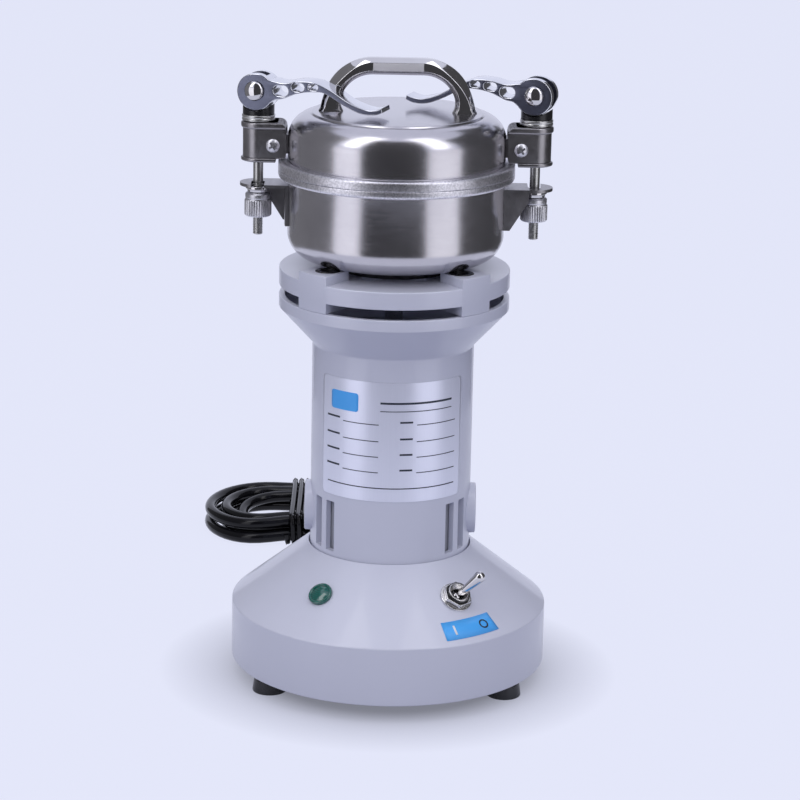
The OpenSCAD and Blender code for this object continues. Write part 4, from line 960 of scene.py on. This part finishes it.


# A dark rubber ring under the bowl: partly a cushion, partly a dark piece put there as painted shade under
# the bowl.
def bowl_cushion_and_shade():
    add_on(turned("bowl_cushion_and_shade", [
        (27.8, Z_STEP + 0.02), (29.6, Z_STEP + 0.02, 0.3), (29.6, Z_BOWL - 0.1, 0.5),
        (27.8, Z_BOWL - 0.1, 0.3)]), RUBBER)


def grommets():
    corners = [(3.4, Z_PAD - 3), (6.15, Z_PAD - 3), (6.15, Z_PAD, 0.2), (5.8, Z_PAD + 0.4, 0.3),
               (3.4, Z_PAD + 0.4, 0.5)]
    rings = [turned("grommet", corners, 4, around(a, GROMMET_REACH), 48) for a in PAD_MIDDLES]
    stand_for(joined("grommets", rings), RUBBER, "seat_grommets")


# Bowl and lid: spun sheet with rolled flanges

BOWL_ROUND = 12.7
BOWL_IN = BOWL_R - SHEET_T
BEAD_R = 1.9
LID_ROUND = 12
STEP_DROP = 0.9
ROUND_POINTS = 20


def bowl():
    corner = BOWL_R - BOWL_ROUND
    profile = (
        [(9, Z_BOWL)] + arc(corner, Z_BOWL + BOWL_ROUND, BOWL_ROUND, -90, 0, ROUND_POINTS)
        + arc(BOWL_R + 0.5, Z_FLANGE - 0.5, 0.5, 180, 90, 3) + [(BOWL_IN, Z_FLANGE)]
        + arc(corner, Z_BOWL + BOWL_ROUND, BOWL_ROUND - SHEET_T, 0, -90, ROUND_POINTS)
        + [(9, Z_BOWL + SHEET_T)])
    bead = [(BOWL_IN, Z_FLANGE), (FLANGE_R, Z_FLANGE, BEAD_R), (FLANGE_R, Z_MOUTH, 0.7),
            (BOWL_IN, Z_MOUTH, 0.4)]
    stand_for(lathe("bowl_shell", profile, HERE, SPUN_STEPS), STEEL, "bowl")
    add_on(turned("bowl_flange", bead, 8, steps=SPUN_STEPS), BEAD)


def lid():
    corner = BOWL_R - LID_ROUND
    step = Z_TOP - STEP_DROP
    shoulder = step - LID_ROUND
    edge = Z_MOUTH + 0.06
    profile = (
        [(BOWL_IN, Z_LID_WALL - 1), (BOWL_R, Z_LID_WALL - 1)]
        + arc(corner, shoulder, LID_ROUND, 0, 90, ROUND_POINTS) + [(LID_STEP_R + 0.2, step)]
        + arc(LID_STEP_R - 1.0, step, STEP_DROP, 30, 90, 5)
        + [(0, Z_TOP), (0, Z_TOP - SHEET_T), (LID_STEP_R, Z_TOP - SHEET_T)]
        + arc(corner, shoulder, LID_ROUND - SHEET_T, 90, 0, ROUND_POINTS))
    bead = [
        (BOWL_IN, Z_LID, 0.3), (FLANGE_R - 1.6, Z_LID, 0.1), (FLANGE_R - 1.3, edge, 0.1),
        (FLANGE_R, edge, 0.35), (FLANGE_R, Z_LID_WALL, 2.3), (BOWL_R + 0.9, Z_LID_WALL, 0.6),
        (BOWL_R - 0.3, Z_LID_WALL - 0.7, 0.3), (BOWL_IN, Z_LID_WALL - 0.7)]
    stand_for(lathe("lid_dome", profile, HERE, SPUN_STEPS), STEEL, "lid_shell")
    add_on(turned("lid_flange", bead, 8, steps=SPUN_STEPS), BEAD, "lid")


# Handle: an eight-sided bar bent down to two flared feet

HANDLE_BAR = 24.8
HANDLE_BEND = 20.4
HANDLE_RISE = 22.4
HANDLE_HALF_W = 4.2
HANDLE_HALF_H = 4.15
CHAMFER = 2.2
FOOT_HALF_W = 5.3
FOOT_HALF_H = 6.1
BEND_STEPS = 16
BEND_Z = Z_TOP + HANDLE_RISE - HANDLE_BEND
FLARE_START = 0.72
FLAT_FACING = 0.95


def handle_section(middle, out, flare, top_chamfer=CHAMFER):
    """Eight sides with rounded corners, in the plane of the outward direction and Y."""
    h = HANDLE_HALF_H + (FOOT_HALF_H - HANDLE_HALF_H) * flare
    w = HANDLE_HALF_W + (FOOT_HALF_W - HANDLE_HALF_W) * flare
    c = CHAMFER
    t = top_chamfer
    corners = [(h - t, -w), (h, -w + t), (h, w - t), (h - t, w), (-h + c, w), (-h, w - c), (-h, -w + c),
               (-h + c, -w)]
    outline = rounded([(x, y, 0.45) for x, y in corners], 2)
    return [middle + out * x + Vector((0, y, 0)) for x, y in outline]


def handle_half(side):
    """From the bar's middle down to one foot. The upper chamfers widen in the bend."""
    sections = []
    for k in range(BEND_STEPS + 1):
        share = k / BEND_STEPS
        a = math.pi / 2 * share
        flare = max(0.0, (share - FLARE_START) / (1 - FLARE_START)) ** 2 * 0.5
        out = Vector((side * math.sin(a), 0, math.cos(a)))
        middle = Vector((side * HANDLE_BAR / 2, 0, BEND_Z)) + out * HANDLE_BEND
        wide = CHAMFER + (HANDLE_HALF_W - CHAMFER - 0.3) * math.sin(math.pi * share) ** 2
        sections.append(handle_section(middle, out, flare, wide))
    for share, flare in ((0.45, 0.75), (0.8, 0.95), (1.0, 1.0)):
        middle = Vector((side * (HANDLE_BAR / 2 + HANDLE_BEND), 0, BEND_Z - (BEND_Z - Z_TOP) * share))
        sections.append(handle_section(middle, Vector((side, 0, 0)), flare))
    return sections


def handle():
    bar = stand_for(sweep("handle_bar", handle_half(-1)[::-1] + handle_half(1)), CHROME, "lid_handle")
    straight = HANDLE_BAR / 2 * MM
    second_finish(bar, SATIN, lambda face: abs(face.center.x) < straight and abs(face.normal.y) > FLAT_FACING)


# Clamps: lug, box with rolled lips, screw and ring on each side of the lid

BOX_R = 7.7
BOX_T = 1.6
BOX_LIP = 0.9
Z_BOX = Z_LID_WALL + 0.3
Z_BOX_TOP = Z_TOP - 5.7
BOX_LIP_H = 3.4
BOX_FOOT_H = 2
BOX_INNER = BOWL_R + 0.6
CROSS_X = ROD_X - 7.4
CROSS_Z = Z_BOX + 6.8
RING_R = 8.2
ROD_HOLE_R = ROD_R + 0.1


def box_outline(grow, inner):
    """The box from above, with the rod at the origin: a half circle and a straight part."""
    straight = ROD_X - inner
    r = BOX_R + grow
    return arc(0, 0, r, 90, 270, 24) + [(straight, -r), (straight, r)]


def box_side_view():
    """What stays of the box beside the lid, with its inner corners rounded."""
    inner = ROD_X - BOX_INNER
    top = Z_BOX_TOP + 0.02
    return rounded([(-20, Z_BOX - 1), (inner, Z_BOX - 1, 4.5), (inner, top, 4.5), (-20, top)], 8)


def clamp_box(side):
    place = rod_place(side)
    tall = Z_BOX_TOP - Z_BOX
    middle = place @ shift(z=Z_BOX + tall / 2)
    body = prism("body", [box_outline(0, BOX_INNER)], tall, 0.6, middle)
    lip = prism("lip", [box_outline(BOX_LIP, BOX_INNER)], BOX_LIP_H, 1.2,
                place @ shift(z=Z_BOX_TOP - BOX_LIP_H / 2), 5)
    foot = prism("foot", [box_outline(BOX_LIP, FLANGE_R + 0.9)], BOX_FOOT_H, 0.8,
                 place @ shift(z=Z_BOX - BOX_FOOT_H / 2 + 0.3), 4)
    parts = []
    for part in (body, lip, foot):
        tools = [tube("bore", 0, ROD_R + 0.15, 200, 300, place)]
        if part is body:
            tools.append(prism("room", [box_outline(-BOX_T, BOWL_R - 4)], tall - 2 * BOX_T, 0, middle))
        part = cut(part, *tools)
        if len(parts) < 2:
            keep = prism("keep", [box_side_view()], 60, 0, place @ turn(90, "X"))
            part = cut(part, keep, keep=True)
        parts.append(part)
    return joined("box", parts)


def clamp_housings():
    stand_for(joined("clamp_housings", [clamp_box(s) for s, _ in SIDES]), SHEET, "clamp_boxes")


def cross_screw(side, end):
    """Half of a screw through box and lug: a pan head with a cross, and half of the shank."""
    place = (turn(180 * side) @ shift(-CROSS_X, 0, CROSS_Z) @ turn(180 * end) @ shift(0, -BOX_R)
             @ turn(90, "X"))
    profile = ([(0, -7.7), (1.6, -7.7), (1.6, 0), (3.4, 0), (3.4, 0.7)] + arc(0, -2.5, 4.6, 43, 86, 6)
               + [(0, 2.1)])
    head = lathe("cross_head", profile, place, 64)
    for a in (35, 125):
        head = cut(head, prism("bar", [rectangle(4.4, 1.05, 0.2)], 2.4, 0, place @ shift(z=2) @ turn(a)))
    return head


def cross_heads():
    heads = [cross_screw(s, e) for s, _ in SIDES for e in (0, 1)]
    stand_for(joined("cross_heads", heads), ZINC_BRIGHT, "cross_screws")


def steel_rings():
    corners = [(ROD_HOLE_R, 0, 0.3), (RING_R, 0, 0.4), (RING_R, 1.1, 0.2), (7.95, 1.5, 0.2),
               (RING_R, 1.9, 0.2), (RING_R, 3, 0.4), (ROD_HOLE_R, 3, 0.3)]
    bottom = shift(z=low("thrust_rings").z)
    rings = [turned("ring", corners, 3, rod_place(s) @ bottom) for s, _ in SIDES]
    stand_for(joined("steel_rings", rings), ZINC, "thrust_rings")


# Cam levers: the cam's circle runs into the arm's two edges, in shares of the lever's length

TOP_EDGE = [
    (0.060, 0.112), (0.128, 0.086), (0.225, 0.072), (0.345, 0.094), (0.470, 0.091),
    (0.600, 0.040), (0.735, -0.038), (0.865, -0.080), (0.940, -0.078), (0.992, -0.062)]
LOW_EDGE = [
    (0.998, -0.094), (0.935, -0.117), (0.830, -0.114), (0.695, -0.060), (0.563, 0.011),
    (0.477, 0.022), (0.345, 0.003), (0.225, -0.045), (0.160, -0.058), (0.110, -0.100)]
LEVER_EDGE = 0.5
LEVER_HOLES = [(0.207, 0.013, 0.060, 0.040), (0.340, 0.048, 0.052, 0.031), (0.459, 0.057, 0.040, 0.023)]
CAM_POINTS = 40
SIDE_FACING = 0.93
DOME_R = 5
DOME_RISE = 2.6
PIN_R = 2.4


def cam_radius(angle):
    """The cam's radius at an angle in degrees from its underside, round its back."""
    if angle <= 180:
        return CAM_R - CAM_DROP * min(angle, LEVER_TRAVEL) / LEVER_TRAVEL
    return CAM_R - CAM_DROP * max(0, (270 - angle) / 90)


def lever_outline():
    arm = []
    for edge in (TOP_EDGE, LOW_EDGE):
        line = smooth_line([(x * LEVER_L, y * LEVER_L, 0) for x, y in edge], 6)
        arm += [p for p in line if p.length > CAM_R + 0.4]
    first = math.degrees(math.atan2(arm[0].y, arm[0].x))
    last = math.degrees(math.atan2(arm[-1].y, arm[-1].x))
    start = (-90 - last) % 360
    end = (-90 - first) % 360
    start = start - 360 if start > 180 else start
    outline = [(p.x, p.y) for p in arm]
    for k in range(1, CAM_POINTS):
        now = start + (end - start) * k / CAM_POINTS
        r = cam_radius(max(now, 0))
        a = math.radians(-90 - now)
        outline.append((r * math.cos(a), r * math.sin(a)))
    return outline


def oval(x, y, half_l, half_w):
    """A hole with round ends."""
    flat = (half_l - half_w) * LEVER_L
    r = half_w * LEVER_L
    cx = x * LEVER_L
    cy = y * LEVER_L
    return arc(cx + flat, cy, r, -90, 90, 12) + arc(cx - flat, cy, r, 90, 270, 12)


def lever(side, name):
    """A forked lever: bright edges and darker sides."""
    place = pin_place(side)
    outlines = [lever_outline(), disc(2.5, 32), *(oval(*hole) for hole in LEVER_HOLES)]
    body = prism("cam_lever_" + name, outlines, LEVER_W, LEVER_EDGE, place, 4)
    body = cut(body, prism("fork", [rectangle(24, 44, 0, -6.9)], 5.6, 0, place))
    across = (place.to_3x3() @ AXIS_Z).normalized()
    stand_for(body, ALLOY_EDGE, "clamp_lever_" + name)
    second_finish(body, ALLOY_SIDE, lambda face: abs(face.normal.dot(across)) > SIDE_FACING)


def pivot(side, name):
    """A pin with a flanged dome at each end, across the lever."""
    half = LEVER_W / 2 + 0.3
    dome = [(0, half + DOME_RISE)]
    dome += [(DOME_R * math.sin(a), half + DOME_RISE * math.cos(a)) for a in fan(8, 88, 10)]
    dome += [(DOME_R, half), (PIN_R, half)]
    profile = dome + [(r, -z) for r, z in reversed(dome)]
    stand_for(lathe("pivot_" + name, profile, pin_place(side), 72), CHROME, "pivot_pin_" + name)


THREAD_PITCH = 0.8
THREAD_LOW = low("clamp_rod_left").z
THREAD_TOP = THREAD_LOW + 26
CREST_R = ROD_R - 0.02
ROOT_R = ROD_R - 0.35


def clamp_rod(side, name):
    """A rod with a thread on its lower half and an eye on top."""
    profile = [(0, THREAD_LOW), (ROD_R - 0.6, THREAD_LOW)]
    z = THREAD_LOW + 0.5
    while z < THREAD_TOP:
        profile += [(CREST_R, z), (CREST_R, z + 0.15), (ROOT_R, z + 0.45), (ROOT_R, z + 0.55)]
        z += THREAD_PITCH
    profile += [(ROD_R, z + 0.3), (ROD_R, Z_PIN), (0, Z_PIN)]
    eye = prism("eye", [disc(4.3), disc(2.45, 32)[::-1]], 5, 0.4, pin_place(side))
    shank = lathe("rod", profile, rod_place(side, LEVER_SKEW), 40)
    stand_for(joined("threaded_rod_" + name, [shank, eye]), ZINC, "clamp_rod_" + name)


NUT_R = 6.7
FLUTES = 36


def knurl(angle, r):
    """Straight knurling on the nut's lower part."""
    if r < NUT_R - 0.15:
        return r
    return r - 0.28 * (0.5 + 0.5 * math.cos(FLUTES * angle)) ** 0.6


def nut(side, name):
    bottom, top = span("knurled_nut_left")
    piece = turned("finger_nut_" + name, [
        (ROD_HOLE_R, bottom, 0.3), (6.1, bottom), (NUT_R, bottom + 0.6), (NUT_R, bottom + 7.9),
        (6.3, bottom + 8.4, 0.1), (6.2, bottom + 9.0, 0.2), (6.35, bottom + 9.4, 0.2), (6.35, top - 0.9, 0.2),
        (5.4, top, 0.3), (ROD_HOLE_R, top, 0.2)], 3, rod_place(side), 288, knurl)
    stand_for(piece, ZINC_BRIGHT, "knurled_nut_" + name)


def collar(side, name):
    bottom, top = span("nut_collar_left")
    piece = turned("bright_collar_" + name, [
        (ROD_HOLE_R, bottom, 0.1), (5.3, bottom, 0.2), (5.5, bottom + 1.2, 0.2), (6.2, bottom + 1.5, 0.3),
        (6.2, top, 0.4), (ROD_HOLE_R, top, 0.1)], 3, rod_place(side), 72)
    stand_for(piece, CHROME, "nut_collar_" + name)


# Toggle switch and lamp on the cone

TOGGLE_LEAN = 24
BAT_L = 20.2
BAT_BALL_R = 2.8
BAT_TIP_R = 2.85
BUSH_OUT = 5.9
HEX_TURN = 0.2
LENS_R = 6.15
LENS_LOW = 0.1


def toggle_bat():
    profile = (arc(0, 0, BAT_BALL_R, -90, 55, 14) + [(1.65, 3.2), (2.8, BAT_L - 3.6)]
               + arc(0, BAT_L - BAT_TIP_R, BAT_TIP_R, 5, 90, 8))
    bat = lathe("toggle_bat", profile, on_cone(PANEL_ANGLE) @ turn(TOGGLE_LEAN, "Y"), 64)
    stand_for(bat, CHROME, "toggle")


def switch_hex():
    """The washer and the hexagon nut on the switch's bush."""
    place = on_cone(PANEL_ANGLE)
    washer = turned("washer", [(BUSH_OUT, 0), (8.2, 0, 0.2), (8.2, 0.8, 0.3), (BUSH_OUT, 0.8)], 3, place)
    hex_nut = prism("hex_nut", [disc(7.6, 6), disc(BUSH_OUT)[::-1]], 2.6, 0.35,
                    place @ shift(z=2.1) @ Matrix.Rotation(HEX_TURN, 4, "Z"))
    stand_for(joined("switch_hex", [washer, hex_nut]), NICKEL, "switch_nut")


def switch_mouth():
    """A ring round the bat."""
    add_on(turned("switch_mouth", [
        (3.0, 2.6, 0.1), (3.85, 2.6), (3.85, 3.2), (5.75, 3.2), (5.75, 4.3, 0.2), (5.5, 5.1, 0.3),
        (4.6, 5.1, 0.3), (3.0, 3.3, 0.1)], 3, on_cone(PANEL_ANGLE), 72), NICKEL)


def lamp_lens():
    profile = ([(0, -1.5), (3.5, -1.5), (3.5, LENS_LOW), (LENS_R, LENS_LOW)]
               + arc(LENS_R - 0.8, 1.2, 0.8, 0, 150, 10)
               + [(4.6, 1.45), (4.2, 1.6), (2.8, 2.1), (1.4, 2.35), (0, 2.45)])
    stand_for(lathe("green_lens", profile, on_cone(-PANEL_ANGLE), 72), LENS, "lamp_lens")


# Label by the switch: plain blue, with a generic I and O

LABEL_MIDDLE = math.radians(33.9)
LABEL_R = 73
LABEL_W = 30
LABEL_H = 10.6
LABEL_TURN = math.radians(1.5)


def on_label(u, v, lift):
    """A point of the label, by its place along and up the cone."""
    along = u * math.cos(LABEL_TURN) - v * math.sin(LABEL_TURN)
    up = u * math.sin(LABEL_TURN) + v * math.cos(LABEL_TURN)
    r = LABEL_R - up * math.cos(CONE_TILT)
    a = LABEL_MIDDLE + along / LABEL_R
    out = Vector(round_mill(math.sin(CONE_TILT), a, math.cos(CONE_TILT)))
    return Vector(round_mill(r, a, cone_z(r))) + out * lift


def label_patch(name, half_w, half_h, middle=0.0, lift=PRINT_LIFT, steps=2):
    columns = [middle + half_w * (2 * k / steps - 1) for k in range(steps + 1)]
    return sheet(name, [[on_label(u, v, lift) for u in columns] for v in (-half_h, 0, half_h)], 0.1)


def label_ring(name, middle, r, width):
    rows = []
    for k in range(40):
        a = math.tau * k / 40
        rows.append([on_label(middle + w * math.cos(a), w * math.sin(a), PRINT_LIFT) for w in (r, r - width)])
    return from_grid(name, rows, True, False)


def switch_label():
    add_on(label_patch("switch_label", LABEL_W / 2, LABEL_H / 2, lift=PLATE_LIFT, steps=16), BLUE)
    add_on(label_patch("label_on", 0.55, 2.7, -8.85), WHITE)
    add_on(label_ring("label_off", 8.4, 2.6, 0.85), INK)


# Inside: motor, rotor and wiring

WIRE_R = 0.62
WIRE_PITCH = 1.3
RING_PITCH = 1.25
COIL_IN = 18.9
COIL_W = 16.8
COIL_ENDS = 10.8
WINDING_L = 8


def wound_coils():
    """Field coils of separate turns: three layers of four, as far in as the coil goes."""
    bottom, top = span("field_coils")
    loops = []
    for side in (-1, 1):
        for layer in range(3):
            for ring in range(4):
                x = side * (high("field_coils").x - 0.75 - WIRE_PITCH * layer)
                if abs(x) < COIL_IN:
                    continue
                grow = 2 * (0.7 + RING_PITCH * ring)
                outline = rectangle(COIL_W + grow, top - bottom - COIL_ENDS + grow, 3, 0, (bottom + top) / 2)
                path = [(x, y, z) for y, z in outline]
                loops.append(wire("turn", path, WIRE_R, closed=True, resolution=2))
    stand_for(joined("wound_coils", loops), COPPER, "field_coils")


def wound(angle, r):
    """Bundles of wire at the armature's ends."""
    return r + 0.5 * math.cos(12 * angle) + 0.12 * math.cos(96 * angle) if r > 8 else r


def wound_ends():
    ends = []
    bottom, top = span("armature_windings")
    for z in (bottom, top - WINDING_L):
        corners = [(4.6, z), (14.8, z, 3), (14.8, z + WINDING_L, 3), (4.6, z + WINDING_L)]
        ends.append(turned("end", corners, 8, steps=288, ripple=wound))
    stand_for(joined("wound_ends", ends), COPPER, "armature_windings")


# Floor, world and lamps, with the lamps in metres

BACK = (0.815, 0.84, 1.0)
PAPER = (0.42, 0.43, 0.505)
LAMP_COLOUR = (1.0, 0.985, 0.97)
AMBIENT = 0.50
FLOOR_HALF = 9
# Radii and shares of the floor's glow: the low share near the mill paints a shadow round it.
GLOW_RADII = (0.064, 0.118)
GLOW_SHARES = (0.24, 0.91)
MIRROR_AIM = Vector((0, 0, 0.27))
WALL_REACH = 500
WALLS = (("wall_front", -36, 31, 1200, 0.055), ("wall_left", -150, -66, 900, 0.20),
         ("wall_right", 68, 150, 900, 0.075), ("card_left", -65.5, -36.5, 410, 1.2),
         ("card_right", 31.5, 67.5, 410, 1.0))
LAMPS = (("box_left", -51, 0.86, 1.20, 0.36, 1.3, 3.2, True),
         ("box_right", 49.5, 0.86, 1.20, 0.42, 1.3, 2.9, True),
         ("box_front", -10, 1.3, 1.05, 1.3, 0.7, 4.4, False),
         ("box_top", 180, 0.2, 1.5, 1.1, 0.9, 4.6, False))


def stage_floor():
    """Pale paper: it takes the shadow near the mill and glows evenly further out; near the mill the darker
    lit paper also paints a shadow round it.
    """
    size = FLOOR_HALF
    mesh = bpy.data.meshes.new("floor")
    mesh.from_pydata([(-size, -size, 0), (size, -size, 0), (size, size, 0), (-size, size, 0)], [],
                     [(0, 1, 2, 3)])
    made = linked("floor", mesh)
    paper = Finish("", "floor_paper", Roughness=0.9)
    mottle = paper.noise(1.5, 2)
    paper.feed("Base Color", paper.tint(mottle, [(0.3, PAPER), (0.7, tuple(1.01 * c for c in PAPER))]))
    out = paper.vector("LENGTH", paper.place(), output="Value")
    # Little glow near the mill, so the darker paper shows there: a painted shadow round the mill, besides the
    # real one.
    share = paper.calc("MULTIPLY", paper.bright_rays(), paper.between(out, *GLOW_SHARES, *GLOW_RADII))
    blend = paper.node("MixShader", {0: share, 1: paper.shader.outputs[0], 2: paper.glow((*BACK, 1))})
    paper.end_with(blend.outputs[0])
    mesh.materials.append(paper.material)


def studio_wall(name, from_angle, to_angle, tall, level):
    """A wall or card that only polished metal sees, between two angles from the front."""
    rows = [[round_mill(WALL_REACH, a, z) for a in fan(from_angle, to_angle, 24)] for z in (1, tall)]
    wall = from_grid(name, rows, False, False)
    tone = Finish("", name)
    shade = tone.tint(tone.noise(3, 2), [(0.3, (level, level, 1.1 * level)),
                                         (0.7, (1.2 * level, 1.2 * level, 1.3 * level))])
    tone.end_with(tone.glow(shade))
    wall.data.materials.append(tone.material)
    wall.visible_camera = False
    wall.visible_diffuse = False
    wall.visible_transmission = False
    wall.visible_shadow = False


def studio_world():
    """An even light, and the pale background for what looks past the floor."""
    world = bpy.data.worlds.new("studio")
    world.use_nodes = True
    bpy.context.scene.world = world
    sky = Nodes(world.node_tree)
    backdrop = sky.tree.nodes["Background"]
    backdrop.inputs["Color"].default_value = (*BACK, 1)
    strength = sky.between(sky.bright_rays(), AMBIENT, 1.0, 0.0, 1.0)
    sky.tree.links.new(strength, backdrop.inputs["Strength"])


def softbox(name, azimuth, reach, height, width, tall, power, mirrored):
    """An area lamp round the mill, with azimuth 0 in front and positive to the right.

    A mirrored one shows in polished metal.
    """
    lamp = bpy.data.lights.new(name, "AREA")
    lamp.shape = "RECTANGLE"
    lamp.size = width
    lamp.size_y = tall
    lamp.energy = power
    lamp.color = LAMP_COLOUR
    made = bpy.data.objects.new(name, lamp)
    place = Vector(round_mill(reach, math.radians(azimuth), height))
    aim = MIRROR_AIM if mirrored else TARGET
    facing = (aim - place).to_track_quat("-Z", "Y").to_matrix().to_4x4()
    made.matrix_world = Matrix.Translation(place) @ facing
    made.visible_camera = False
    made.visible_glossy = mirrored
    bpy.context.scene.collection.objects.link(made)


# The whole scene, from the camera and the cord to the lamps

photo_camera()
mains_lead()
cord_boot()

base_skin()
rubber_feet()
carry(DARK, "bottom_plate")
carry(SLEEVE, "motor_sleeve")
carry(ZINC, "base_screws", edge=0.2)
motor_housing()
brush_plugs()
name_plate()

chamber_seat()
bowl_cushion_and_shade()
grommets()
carry(ZINC, "chamber_screws", edge=0.2)
carry(BLACK, "shaft_seal")
bowl()
lid()
carry(GASKET, "lid_gasket")
handle()
carry(ZINC, "handle_screws", edge=0.2)

clamp_housings()
carry(SHEET, "lid_lugs", "ear_brackets", edge=0.25)
cross_heads()
steel_rings()
carry(BLACK, "cam_saddle_left", "cam_saddle_right", edge=0.4)
for side, name in SIDES:
    lever(side, name)
    pivot(side, name)
    clamp_rod(side, name)
    nut(side, name)
    collar(side, name)

toggle_bat()
switch_hex()
switch_mouth()
carry(BLACK, "switch_body", edge=0.2)
lamp_lens()
carry(BEZEL, "lamp_body", edge=0.25)
switch_label()

carry(INNER, "motor_brackets", "motor_bearings", "rotor_shaft", edge=0.2)
carry(CORE, "stator_core", "armature_core")
carry(ZINC, "motor_bolts", edge=0.2)
carry(BRASS, "brush_holders")
carry(CARBON, "brush_sets")
carry(COPPER, "commutator")
carry(BLACK, "cooling_fan", edge=0.2)
carry(BLADE, "blades", edge=0.2)
carry(ZINC, "blade_nut", edge=0.3)
carry(BLOCK, "terminal_block", edge=0.4)
wound_coils()
wound_ends()

stage_floor()
for wall_values in WALLS:
    studio_wall(*wall_values)
studio_world()
for lamp_values in LAMPS:
    softbox(*lamp_values)
bpy.context.scene.view_settings.view_transform = "Standard"
